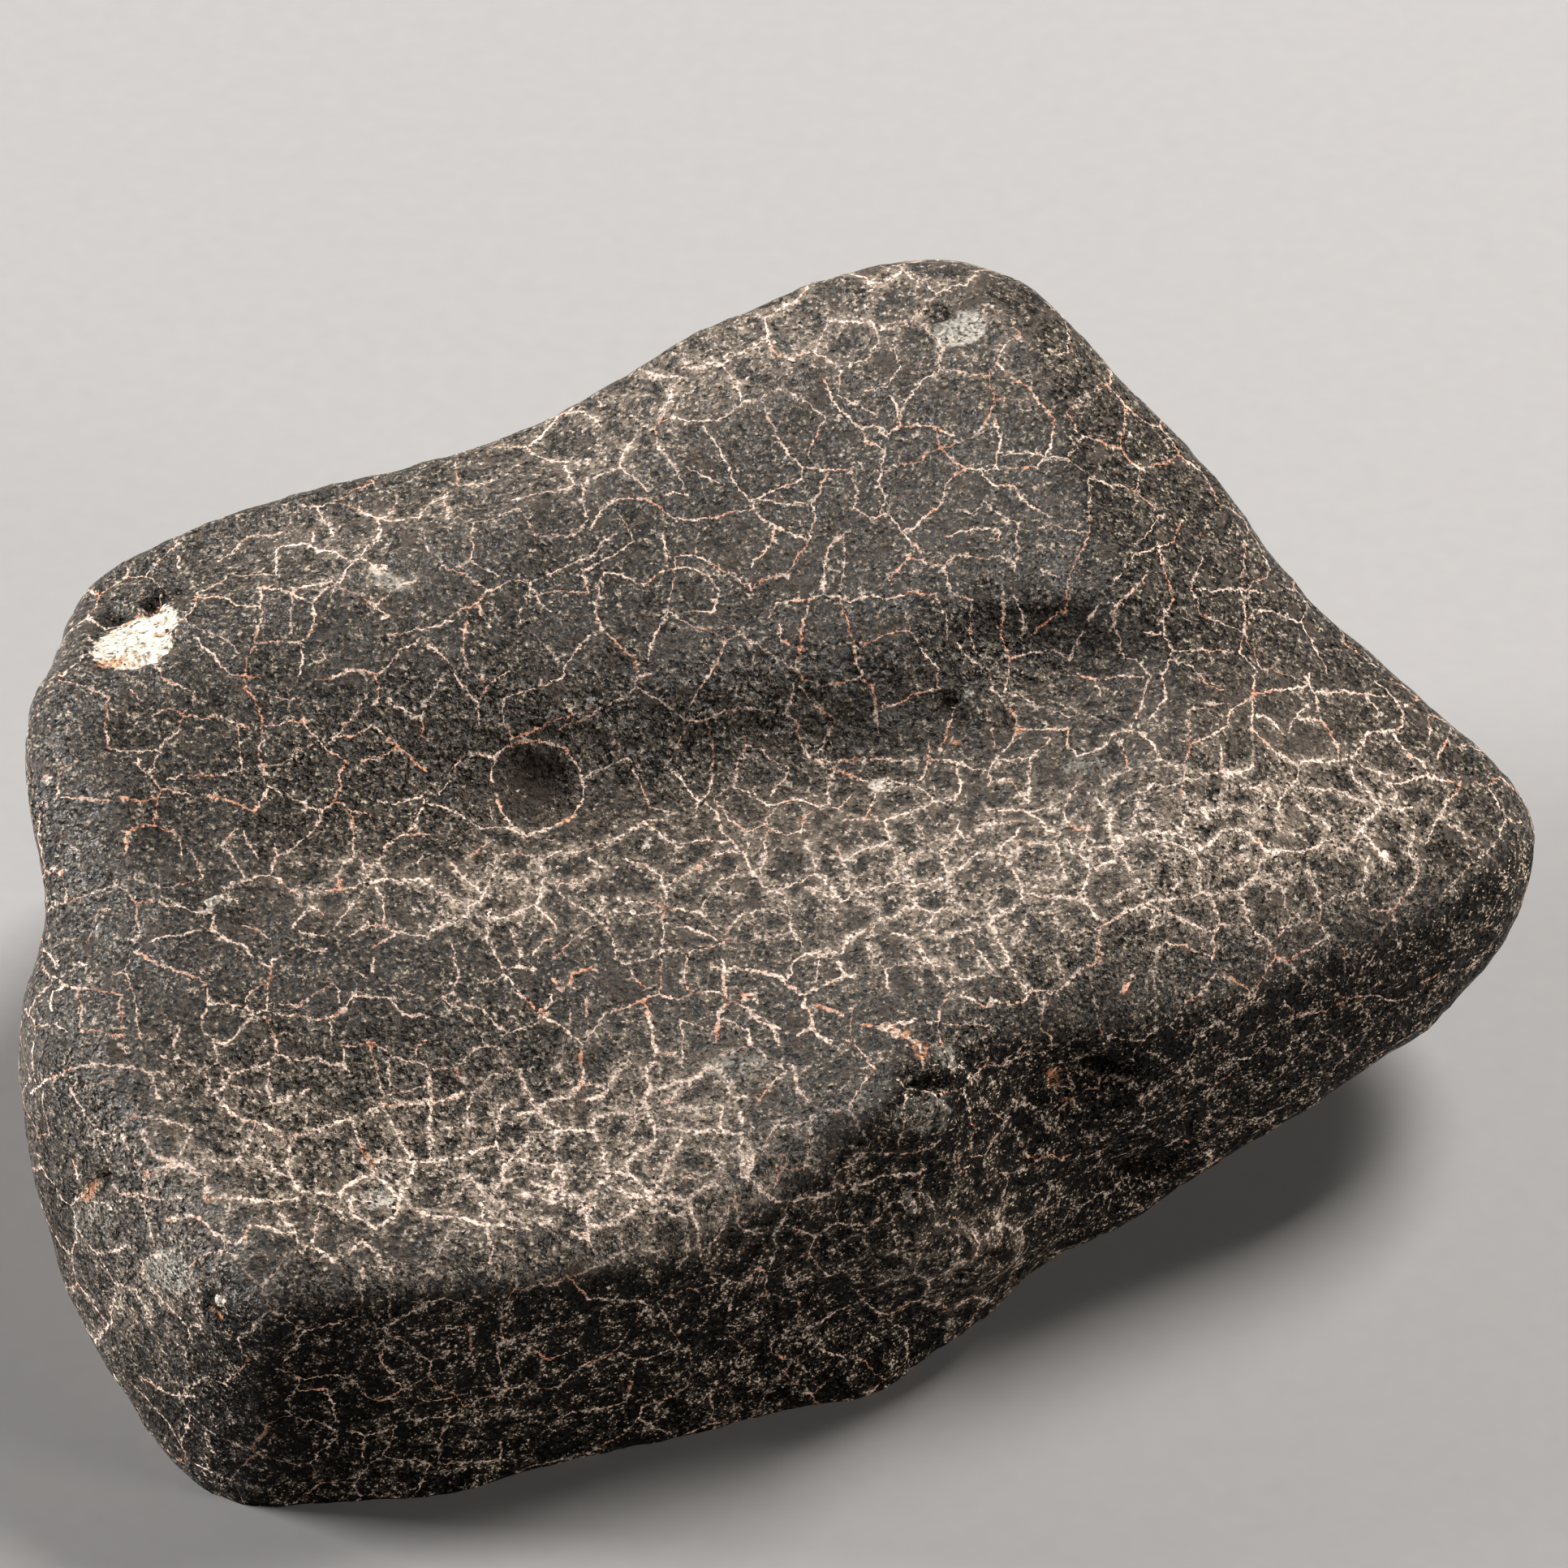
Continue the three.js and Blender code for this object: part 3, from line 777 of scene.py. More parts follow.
        (434, 1150, 447, 1143, 455, 1139, 472, 1139, 486, 1146, 502, 1150, 519, 1152, 530, 1156),
        (447, 1131, 455, 1139),
        (462, 1093, 472, 1106, 472, 1121, 473, 1138),
        (487, 1149, 474, 1159, 461, 1166),
        (355, 1167, 374, 1166, 388, 1170, 402, 1168),
        (459, 1179, 459, 1196),
        (441, 1196, 448, 1202),
        (247, 1196, 252, 1189, 266, 1188),
        (486, 1238, 497, 1249, 511, 1253, 530, 1253),
        (222, 1268, 216, 1279, 212, 1293),
        (94, 1185, 106, 1186),
    ),
    "front trough, right": (
        0.078,
        (682, 1204, 691, 1218, 702, 1213, 705, 1199, 721, 1195, 729, 1194, 736, 1198),
        (680, 1227, 680, 1236, 671, 1241, 662, 1247),
        (793, 1231, 798, 1247, 802, 1263, 804, 1283, 809, 1294, 815, 1297, 832, 1297),
        (719, 1286, 715, 1302, 718, 1319, 718, 1333, 714, 1340, 700, 1347, 701, 1352),
        (723, 1336, 734, 1336, 748, 1341, 737, 1352, 723, 1355),
        (673, 1358, 687, 1352, 701, 1352),
        (640, 1319, 646, 1336, 652, 1349, 659, 1363, 666, 1372, 676, 1383, 686, 1388, 693, 1397,
        702, 1390, 723, 1395, 729, 1398, 737, 1406),
        (640, 1376, 651, 1372, 662, 1368, 673, 1358),
        (686, 1391, 686, 1408, 684, 1424, 686, 1436, 668, 1438, 654, 1433, 640, 1429),
        (729, 1398, 729, 1386, 733, 1377, 751, 1372, 765, 1370),
        (807, 1308, 794, 1316, 798, 1330, 801, 1341, 794, 1352, 794, 1363, 801, 1374, 807, 1388,
        821, 1391, 840, 1391, 859, 1395, 882, 1392, 901, 1397, 914, 1399),
        (807, 1391, 807, 1402, 798, 1413, 782, 1422, 772, 1433, 775, 1447, 790, 1458, 801, 1469),
        (914, 1399, 912, 1416, 918, 1424, 918, 1438, 921, 1452, 934, 1461, 946, 1474, 954, 1480,
        973, 1480, 990, 1474, 1007, 1472, 1023, 1469, 1034, 1462, 1051, 1463, 1068, 1458, 1084,
        1449, 1109, 1447, 1129, 1447, 1140, 1442),
        (775, 1447, 751, 1449, 740, 1461, 726, 1472, 719, 1480, 721, 1491, 726, 1508, 723, 1524,
        729, 1536, 733, 1544),
        (726, 1511, 746, 1509, 762, 1508, 765, 1499, 784, 1488),
        (723, 1524, 704, 1519),
        (719, 1479, 701, 1476, 687, 1480, 679, 1483, 662, 1477, 640, 1472),
        (693, 1474, 693, 1458, 687, 1438),
        (801, 1469, 807, 1479, 821, 1474, 834, 1477, 847, 1480, 854, 1469, 871, 1462, 882, 1459),
        (847, 1480, 851, 1494, 859, 1511, 862, 1524, 862, 1547),
        (801, 1469, 812, 1458, 818, 1444, 823, 1430, 832, 1419, 840, 1402),
        (840, 1330, 851, 1329, 862, 1324, 871, 1316, 882, 1316, 882, 1308),
        (840, 1330, 834, 1344, 829, 1355, 821, 1358),
        (807, 1341, 821, 1338, 840, 1331),
        (896, 1233, 886, 1247, 884, 1263, 882, 1280),
        (896, 1233, 893, 1222, 891, 1197, 891, 1180),
        (876, 1188, 891, 1194, 907, 1190, 929, 1195, 946, 1199, 964, 1205),
        (912, 1223, 926, 1226, 932, 1234),
        (921, 1242, 934, 1254, 954, 1266, 955, 1277, 959, 1287),
        (964, 1208, 976, 1216, 990, 1224, 990, 1233, 998, 1247, 1001, 1263, 996, 1266, 982, 1274),
        (1001, 1266, 1012, 1276, 1023, 1283),
        (990, 1224, 1009, 1215, 1029, 1206, 1040, 1202, 1057, 1202),
        (1040, 1202, 1034, 1186),
        (1004, 1236, 1021, 1241, 1040, 1247),
        (1062, 1261, 1087, 1266, 1109, 1261, 1129, 1255),
        (890, 1363, 889, 1380, 889, 1394),
        (914, 1372, 915, 1388),
        (973, 1311, 980, 1319, 982, 1341, 996, 1358),
        (723, 1230, 722, 1249),
        (744, 1422, 744, 1441, 751, 1449),
        (657, 1508, 679, 1508),
        (657, 1458, 668, 1463, 690, 1466),
        (765, 1466, 773, 1474, 790, 1474),
    ),
    "front face, middle, faint": (
        0.042,
        (969, 1483, 965, 1502, 954, 1522, 957, 1538, 946, 1566, 934, 1563, 923, 1577, 909, 1583,
        882, 1569),
        (934, 1563, 939, 1547),
        (909, 1583, 901, 1605, 898, 1616),
        (1051, 1524, 1068, 1513, 1084, 1502),
        (1096, 1483, 1109, 1480, 1115, 1488, 1128, 1480, 1129, 1494),
        (1093, 1544, 1104, 1538, 1123, 1552),
        (957, 1536, 971, 1536),
        (968, 1580, 984, 1577, 998, 1572),
        (896, 1633, 918, 1634),
    ),
    "lip over the notch": (
        0.09,
        (1087, 1263, 1101, 1272, 1118, 1277, 1132, 1286, 1136, 1299, 1137, 1311),
    ),
    "right floor": (
        0.052,
        (1540, 897, 1558, 910, 1567, 921, 1584, 932, 1600, 941, 1602, 957, 1591, 968, 1582, 979,
        1578, 988),
        (1600, 941, 1604, 937, 1620, 934, 1640, 937, 1656, 932, 1667, 933, 1673, 928, 1682, 914,
        1687, 901, 1700, 899, 1718, 899, 1731, 894, 1729, 879, 1722, 866, 1709, 850, 1696, 839),
        (1667, 933, 1669, 948, 1671, 959, 1684, 970, 1693, 983, 1702, 992, 1696, 1001, 1684, 1010,
        1678, 1021, 1669, 1035),
        (1718, 901, 1727, 917, 1740, 932, 1753, 939, 1762, 954, 1780, 959, 1802, 963),
        (1713, 963, 1733, 963, 1749, 957, 1762, 954),
        (1802, 963, 1793, 977, 1784, 986, 1778, 1003, 1767, 1021, 1762, 1034),
        (1702, 992, 1720, 983, 1724, 974, 1713, 963),
        (1702, 992, 1722, 995, 1744, 994),
        (1678, 1021, 1691, 1037, 1702, 1048, 1709, 1061, 1720, 1063),
        (1564, 1050, 1584, 1048, 1602, 1050, 1618, 1046, 1633, 1037, 1644, 1034),
        (1564, 1050, 1553, 1037, 1538, 1026, 1524, 1021, 1509, 1021, 1502, 1030, 1493, 1039, 1478,
        1048, 1471, 1050),
        (1564, 1050, 1556, 1061, 1551, 1072, 1544, 1083, 1529, 1097, 1513, 1099, 1498, 1103, 1482,
        1101, 1478, 1090, 1478, 1074, 1478, 1063, 1471, 1050, 1456, 1043, 1438, 1034, 1424, 1030),
        (1367, 1039, 1384, 1034, 1402, 1026, 1429, 1023, 1442, 1026, 1456, 1030, 1471, 1034, 1478,
        1043),
        (1367, 1039, 1376, 1052, 1373, 1061, 1358, 1066, 1342, 1070, 1338, 1086, 1331, 1099, 1322,
        1106, 1300, 1104, 1282, 1103, 1260, 1099),
        (1342, 1070, 1340, 1057, 1322, 1048, 1313, 1034),
        (1340, 1048, 1353, 1043, 1367, 1039),
        (1371, 1039, 1369, 1026, 1367, 1008, 1371, 994),
        (1382, 1052, 1393, 1070, 1407, 1086, 1411, 1097, 1407, 1114),
        (1407, 1114, 1389, 1123, 1376, 1130, 1362, 1137, 1349, 1126, 1340, 1114, 1331, 1101),
        (1407, 1114, 1429, 1108, 1447, 1108, 1469, 1106, 1478, 1101, 1496, 1103),
        (1407, 1114, 1420, 1121, 1442, 1126, 1456, 1132, 1473, 1141, 1496, 1149, 1504, 1141, 1500,
        1123, 1496, 1108),
        (1496, 1149, 1498, 1168, 1493, 1183),
        (1504, 1141, 1522, 1139, 1540, 1139, 1549, 1150, 1562, 1159, 1567, 1170),
        (1540, 1139, 1536, 1123, 1533, 1112, 1527, 1099),
        (1362, 1137, 1356, 1148, 1356, 1168, 1356, 1183, 1340, 1190, 1327, 1199, 1316, 1212, 1302,
        1223, 1287, 1221, 1271, 1221, 1262, 1234, 1247, 1237, 1229, 1234, 1211, 1239, 1198, 1232,
        1180, 1223, 1167, 1214, 1153, 1199, 1149, 1186, 1138, 1174, 1127, 1159, 1113, 1152, 1100,
        1148),
        (1271, 1221, 1258, 1212, 1251, 1199, 1244, 1186, 1238, 1172, 1229, 1159, 1229, 1148, 1220,
        1139),
        (1220, 1139, 1202, 1143, 1184, 1146, 1167, 1152),
        (1220, 1139, 1224, 1128, 1242, 1123, 1256, 1114, 1260, 1099, 1253, 1079, 1242, 1061, 1229,
        1052, 1213, 1050, 1200, 1054, 1184, 1070, 1171, 1074),
        (1220, 1137, 1218, 1114, 1222, 1106),
        (1229, 1052, 1238, 1039, 1251, 1030, 1256, 1021),
        (1100, 1088, 1122, 1092, 1144, 1088, 1162, 1081),
        (1216, 999, 1233, 999, 1256, 999, 1278, 1006, 1291, 1021, 1302, 1026),
        (1180, 1012, 1182, 1026, 1191, 1039),
        (1349, 981, 1358, 994),
        (1382, 988, 1389, 979, 1411, 972, 1422, 961, 1438, 966, 1456, 963, 1462, 950),
        (1456, 968, 1462, 981, 1464, 994, 1460, 1008, 1456, 1026),
        (1464, 994, 1478, 1001, 1491, 1008),
        (1402, 986, 1400, 1001, 1393, 1017),
        (1402, 1001, 1420, 1008, 1427, 1021),
        (1509, 957, 1531, 950, 1544, 943),
        (1602, 990, 1618, 1001, 1633, 1012, 1640, 1021),
        (1578, 990, 1573, 1006),
        (1544, 854, 1571, 850, 1593, 848, 1611, 843, 1616, 830),
        (1611, 834, 1622, 852, 1627, 874),
        (1622, 852, 1651, 850, 1678, 854, 1709, 857),
        (1602, 883, 1629, 886, 1640, 897, 1651, 914, 1653, 932),
        (1549, 881, 1571, 888, 1582, 903),
        (1731, 870, 1749, 861, 1767, 863),
        (1789, 897, 1780, 914, 1771, 932),
        (1427, 1130, 1418, 1143),
        (1384, 1226, 1393, 1208, 1396, 1201),
        (1149, 1186, 1162, 1188, 1173, 1186),
    ),
    "front, right, faint": (
        0.042,
        (1582, 1234, 1593, 1246, 1598, 1252, 1616, 1252, 1633, 1248, 1651, 1237, 1669, 1228, 1687,
        1226, 1713, 1232, 1731, 1232),
        (1596, 1252, 1591, 1263),
        (1753, 1212, 1776, 1203, 1793, 1199, 1807, 1212),
        (1287, 1226, 1284, 1248, 1282, 1270, 1296, 1279, 1298, 1292),
        (1522, 1309, 1544, 1306, 1562, 1288),
        (1629, 1270, 1647, 1283, 1660, 1301),
        (1482, 1283, 1491, 1270),
        (1678, 1199, 1696, 1172),
    ),
    "ring round the pit": (
        0.045,
        (632, 1018, 615, 990, 604, 955, 612, 930, 632, 917, 662, 912, 695, 921, 713, 945, 720, 968,
        716, 990, 703, 1008, 680, 1020, 650, 1028, 632, 1018),
    ),
}


def placed_cracks():
    """The placed cracks as straight pieces on the form, with their half widths."""
    starts, ends, widths = [], [], []
    for width, *routes in CRACKS.values():
        for route in routes:
            met, found = onto_stone(np.reshape(route, (-1, 2)))
            both = found[:-1] & found[1:]
            starts.append(met[:-1][both])
            ends.append(met[1:][both])
            widths.append(np.full(both.sum(), width))
    return np.concatenate(starts), np.concatenate(ends), np.concatenate(widths)


def chance_borders(points, quads, pale):
    """Borders of the chance net's cells as pairs of end points. A cell is all that is nearest
    to its seed once every point has drifted a little, and seeds crowd on pale floors."""
    spacing = CELL_SPACING - CLOSER_ON_PALE * pale + SPACING_SWELL * swell(points, 4, 40)
    spacing *= 1 + SPACING_LUCK * chance(np.floor(points * 50), 41)
    seeds = points[seeds_among(points, np.maximum(spacing, LEAST_SPACING), 7)]
    labels = nearest_seed(points + 0.5 * drift(points, 1.9, 42), seeds)
    starts, ends = cell_borders(labels, quads, points[quads].mean(1))
    length = np.linalg.norm(ends - starts, axis=1)
    keep = (length > BORDER_LENGTHS[0]) & (length < BORDER_LENGTHS[1])
    return starts[keep], ends[keep]


def chance_widths(middles, placed_middles):
    """Half widths of the chance cracks: by luck, fainter near the placed ones and on the right
    of the front faces, and nothing close to a placed one or inside the round pit."""
    luck = (chance(np.floor(middles * 40), 43) + 1) / 2
    widths = np.interp(luck, CRACK_LUCK, LUCKY_WIDTHS)
    gap = in_parts(
        lambda part: np.linalg.norm(part[:, None] - placed_middles[None], axis=-1).min(1),
        middles,
        40,
    )
    widths = widths * np.where(gap < NEAR_PLACED, WIDTH_NEAR_PLACED, 1.0) * (gap > CLEAR_OF_PLACED)
    marks = marks_of(middles)
    widths = widths * (oval(marks, *HOLLOWS["round pit"][:5]) > 1)
    front_right = smooth(below_rim(marks), 0, 30) * smooth(marks[:, 0], 1150, 1300)
    return widths * (1 - FAINTER_ON_FRONT * front_right)


def wandering(starts, ends):
    """Each border as three pieces that wander by two chance drifts, laid onto the form."""
    share = np.linspace(0, 1, 4)[None, :, None]
    lines = (starts[:, None] * (1 - share) + ends[:, None] * share).reshape(-1, 3)
    lines = lines + 0.28 * drift(lines, 1.3, 44) + 0.14 * drift(lines, 0.6, 45)
    lines = onto_form(lines).reshape(-1, 4, 3)
    return lines[:, :-1].reshape(-1, 3), lines[:, 1:].reshape(-1, 3)


def crack_pieces(points, quads, marks, seen):
    """The whole net as short straight pieces with half widths: the placed cracks, and between
    and beyond them the borders of chance cells, some left out and most of them faint."""
    placed_starts, placed_ends, placed_widths = placed_cracks()
    starts, ends = chance_borders(points, quads, seen * patch(marks, PALE_FLOORS))
    widths = chance_widths((starts + ends) / 2, (placed_starts + placed_ends) / 2)
    keep = widths > LEAST_WIDTH
    starts, ends = wandering(starts[keep], ends[keep])
    return (
        np.vstack([placed_starts, starts]),
        np.vstack([placed_ends, ends]),
        np.concatenate([placed_widths, np.repeat(widths[keep], 3)]),
    )


# ---- patches of finish, placed in the main view ----

# Each has a middle, half width, half height, turn in degrees and amount.
PALE_FLOORS = {
    "main floor": (1100, 1070, 290, 110, 0, 1.0),
    "main floor, right": (1520, 1020, 180, 120, -10, 1.0),
    "front trough": (600, 1430, 300, 100, -3, 1.0),
    "front trough, right": (820, 1390, 160, 110, 0, 0.8),
    "below the round pit": (650, 1090, 130, 60, 0, 1.0),
    "left of it": (430, 1095, 110, 45, 10, 0.7),
    "front trough, left": (260, 1400, 120, 90, 0, 0.7),
    "near the front": (690, 1465, 210, 42, 0, 0.8),
    "plateau, right": (1180, 1175, 150, 50, 0, 0.5),
}
# Pale dust, and in a few patches painted sheen.
DUST_AND_PAINTED_SHEEN = {
    "back ridge": (930, 430, 360, 60, -26, 0.85),
    "high corner": (1200, 395, 110, 45, 10, 0.5),
    "under the corner": (1230, 470, 160, 50, 0, 0.25),
    "crest, left": (430, 650, 160, 30, -12, 0.35),
    # partly painted highlight: frosted glints where the left lamp catches the corner
    "left front corner": (175, 1605, 70, 75, 0, 0.6),
    "right floor": (1700, 1010, 120, 70, 0, 0.5),
    "patch by the crest": (480, 720, 60, 30, 20, 0.6),
    "pale patch": (591, 1121, 50, 35, 0, 0.8),
    "crest notch": (740, 565, 50, 20, -15, 0.7),
    "heel": (1195, 1540, 70, 62, -30, 1.0),
    # painted sheen: a pale band along the rounded rim below the trough
    "below the front trough": (640, 1562, 330, 18, -3, 0.35),
    "front": (1110, 1560, 90, 60, -10, 0.25),
    "shelf under the scarp": (1300, 852, 70, 26, 0, 0.6),
    "right floor, by the grain": (1712, 1048, 34, 26, 0, 0.6),
}
BROWNED = {
    "round pit": (658, 960, 62, 58, 0, 1.0),
    "left pit": (292, 1135, 26, 28, 0, 1.0),
    "trough, small": (695, 1368, 22, 14, 0, 0.9),
    "right floor": (1365, 1090, 26, 22, 0, 0.9),
    "right floor, second": (1487, 1128, 18, 18, 0, 0.8),
    "right floor, third": (1532, 1000, 22, 22, 0, 0.6),
    "right end": (1615, 915, 30, 20, 0, 0.6),
    "scarp's foot": (1240, 885, 20, 28, 0, 0.9),
    "left floor": (420, 1128, 24, 12, 25, 0.9),
    "floor, left": (1060, 1140, 30, 20, 0, 0.6),
    "left of the pit": (520, 900, 90, 50, 0, 0.4),
    "main floor": (980, 1020, 120, 40, 0, 0.5),
    "scarp, right": (1560, 870, 140, 60, 0, 0.5),
    "scarp": (1180, 640, 80, 50, 0, 0.4),
    "waist": (60, 1290, 80, 60, 0, 0.4),
    "oval": (620, 1117, 15, 9, 0, 0.9),
    "front face": (620, 1700, 260, 80, -8, 0.5),
    "front face, right": (1250, 1500, 130, 70, -25, 0.5),
    "crest": (960, 680, 120, 50, 0, 0.4),
}
CREAM = {
    "chip": (162, 792, 54, 33, -10, 1.0),
    "chip, top": (186, 768, 36, 22, -18, 1.0),
    "grain, left": (264, 1112, 6, 9, 0, 1.0),
    "grain in its socket": (800, 1040, 7, 6, 0, 0.9),
    "inclusion": (1085, 968, 19, 8, 10, 1.0),
    "grain, front left": (272, 1600, 9, 10, 0, 0.9),
}
STAINED = {
    "chip's foot": (138, 812, 24, 10, -8, 1.0),
    "chip, speckle": (192, 778, 9, 8, 0, 0.6),
    "chip, speckle, right": (214, 774, 8, 7, 0, 0.6),
    "chip, speckle, top": (172, 755, 9, 7, 0, 0.7),
    "lip over the notch": (1118, 1277, 26, 7, 38, 0.9),
    "lip, foot": (1136, 1298, 7, 16, 5, 1.0),
    "right notch": (1303, 1332, 15, 17, 10, 0.6),
    "right notch, foot": (1316, 1356, 9, 5, -40, 0.8),
    "left edge": (115, 1465, 22, 12, -50, 0.7),
    "crack's mouth": (265, 1620, 9, 7, 0, 1.0),
    "trough": (735, 1345, 40, 22, 0, 0.3),
    "trough, small": (875, 1437, 12, 8, 0, 0.5),
    "trough, speck": (965, 1419, 7, 4, 0, 1.0),
    "rim, speck": (935, 1320, 8, 6, 0, 0.6),
    "scarp's foot": (1178, 915, 12, 6, 20, 0.8),
    "crack on the right floor": (1459, 973, 8, 6, 60, 0.7),
    "crack on the right floor, second": (1556, 1036, 8, 6, 60, 0.8),
}
# Painted shade: patches darkened to near black where shade falls, in the notches, holes, hollows,
# crack mouths and gaps of the heel, below the scarp, in the round pit and over the low left and
# front faces.
PAINTED_SHADE_PATCHES = {
    "scarp": (1290, 762, 120, 32, -3, 0.95),
    "scarp, right": (1400, 795, 90, 22, -5, 0.6),
    "scarp, left": (1090, 850, 90, 75, 0, 0.5),
    "round pit": (657, 957, 58, 52, 0, 0.7),
    "left edge, low": (70, 1500, 50, 80, 0, 0.6),
    "left front, low": (205, 1735, 60, 70, 0, 0.7),
    "front, left": (400, 1720, 110, 90, 0, 0.7),
    "crack's mouth, left edge": (129, 1446, 8, 20, -35, 1.0),
    "crack's mouth, left corner": (260, 1596, 8, 18, 25, 1.0),
    "hole at the right end": (1789, 1052, 13, 15, 0, 0.9),
    "hole at the right end, second": (1776, 1040, 15, 6, 15, 0.8),
    "chip's upper edge": (190, 737, 36, 9, -20, 1.0),
    "gap in the heel": (1182, 1569, 13, 9, 20, 0.9),
    "second gap in the heel": (1211, 1543, 11, 8, -20, 0.8),
    "third gap in the heel": (1190, 1514, 11, 8, 0, 0.8),
    "fourth gap in the heel": (1255, 1527, 10, 12, 0, 0.7),
    "left notch": (1138, 1330, 38, 8, 16, 0.9),
    "right notch": (1358, 1318, 46, 24, 5, 0.9),
    "smooth hollow": (1400, 1440, 60, 26, -8, 0.8),
    "recess beside the knob": (1166, 872, 14, 10, 15, 0.8),
    "slot beside the knob": (1187, 882, 8, 14, -10, 0.9),
}
# Lime gathered where cracks meet.
LIMED = {
    "front trough": (685, 1437, 8, 9, 0, 1.0),
    "front trough, tall": (921, 1434, 8, 20, 8, 1.0),
    "front trough, low": (722, 1489, 8, 9, 0, 1.0),
    "front trough, right": (801, 1472, 9, 7, 30, 1.0),
    "front trough, left": (435, 1376, 7, 7, 0, 0.9),
    "front trough, top": (563, 1350, 7, 6, 0, 0.9),
    "front trough, foot": (681, 1480, 8, 7, 0, 0.9),
    "front trough, ridge": (668, 1250, 9, 7, 45, 0.8),
    "left plateau": (304, 894, 8, 7, 0, 0.8),
    "left plateau, second": (371, 885, 7, 9, 0, 1.0),
    "left plateau, third": (467, 701, 12, 8, 10, 0.9),
    "left plateau, fourth": (517, 783, 6, 7, 0, 0.8),
    "left plateau, fifth": (475, 756, 10, 6, 30, 0.7),
    "left edge, top": (58, 959, 11, 9, 0, 0.7),
    "right floor": (1377, 1036, 13, 9, 15, 1.0),
    "right floor, right": (1709, 1052, 9, 9, 40, 0.8),
    "right floor, top": (1484, 1001, 10, 5, 25, 1.0),
    "right floor, low": (1271, 1221, 7, 6, 0, 0.8),
    "right floor, streak": (1515, 952, 10, 6, 10, 0.9),
    "right floor, left": (1222, 1105, 7, 9, 0, 0.6),
    "lip over the notch": (1100, 1269, 16, 6, 25, 1.0),
    "middle": (918, 1228, 12, 6, 30, 0.7),
    "pale patch": (597, 1120, 8, 16, 0, 0.6),
    "upper slope": (805, 690, 7, 5, 0, 0.6),
    "high corner": (1111, 524, 6, 6, 0, 0.6),
}
# Grey chips, and on the left corner painted sheen: silvery glints where the left lamp falls.
GREY_CHIPS_AND_PAINTED_SHEEN = {
    "chip at the high corner": (1183, 405, 38, 22, -15, 1.0),
    "grey patch by the crest": (478, 715, 35, 16, 20, 0.6),
    "grey patch, rim": (905, 1310, 60, 30, 0, 0.45),
    "grey patch, trough": (470, 1475, 30, 18, 0, 0.7),
    "grey patch, main floor": (1340, 945, 44, 18, 0, 0.42),
    "knob": (1196, 858, 17, 11, 65, 0.6),
    # this and the next: painted sheen, silvery glints on the left corner
    "grey patch, corner": (210, 1565, 45, 35, 20, 0.5),
    "left corner": (120, 1500, 45, 40, 50, 0.4),
    "beside the notch": (1165, 1300, 34, 20, 40, 0.42),
    "under the notch": (1135, 1375, 60, 32, -10, 0.42),
    "grey patch, heel": (1120, 1480, 13, 24, 0, 0.45),
}


def patch(marks, table):
    """Sum of soft ovals, at most 1."""
    total = sum(
        amount * np.exp(-oval(marks, x, y, w, h, turn) ** 2)
        for x, y, w, h, turn, amount in table.values()
    )
    return np.minimum(total, 1)


def spot(marks, table):
    """The strongest oval's cover: all of it inside, none outside, over a narrow edge."""
    covers = [
        amount * (1 - smooth(oval(marks, x, y, w, h, turn), 0.55, 1.25))
        for x, y, w, h, turn, amount in table.values()
    ]
    return np.max(covers, axis=0)


# ---- the piece ----


def new_piece(name, points, quads):
    """A mesh object with smooth shading, from points in millimetres and quads."""
    mesh = bpy.data.meshes.new(name)
    mesh.vertices.add(len(points))
    mesh.vertices.foreach_set("co", (points * MM).astype(np.float32).ravel())
    mesh.loops.add(quads.size)
    mesh.loops.foreach_set("vertex_index", quads.astype(np.int32).ravel())
    mesh.polygons.add(len(quads))
    mesh.polygons.foreach_set("loop_start", np.arange(0, quads.size, 4, dtype=np.int32))
    mesh.update(calc_edges=True)
    mesh.shade_smooth()
    piece = bpy.data.objects.new(name, mesh)
    bpy.context.scene.collection.objects.link(piece)
    return piece


def keep_on(piece, name, values, domain="POINT"):
    """Keeps numbers or vectors on the mesh under a name, for its material to read."""
    kind, field = ("FLOAT", "value") if values.ndim == 1 else ("FLOAT_VECTOR", "vector")
    attribute = piece.data.attributes.new(name, kind, domain)
    attribute.data.foreach_set(field, values.astype(np.float32).ravel())


def keep_cracks(piece, skin, quads, marks, seen):
    """Keeps on each quad the ends and half widths of the three crack pieces nearest to it."""
    starts, ends, widths = crack_pieces(skin, quads, marks, seen)
    near = pieces_near(skin[quads].mean(1), starts, ends, CRACKS_PER_QUAD, CRACK_REACH)
    for k in range(CRACKS_PER_QUAD):
        there = near[:, k, None] >= 0
        for end, places in (("start", starts), ("end", ends)):
            kept = np.where(there, places[near[:, k]], NOWHERE)
            keep_on(piece, f"crack_{end}_{k + 1}", kept, "FACE")
    keep_on(piece, "crack_width", np.where(near >= 0, widths[near], 0.0), "FACE")


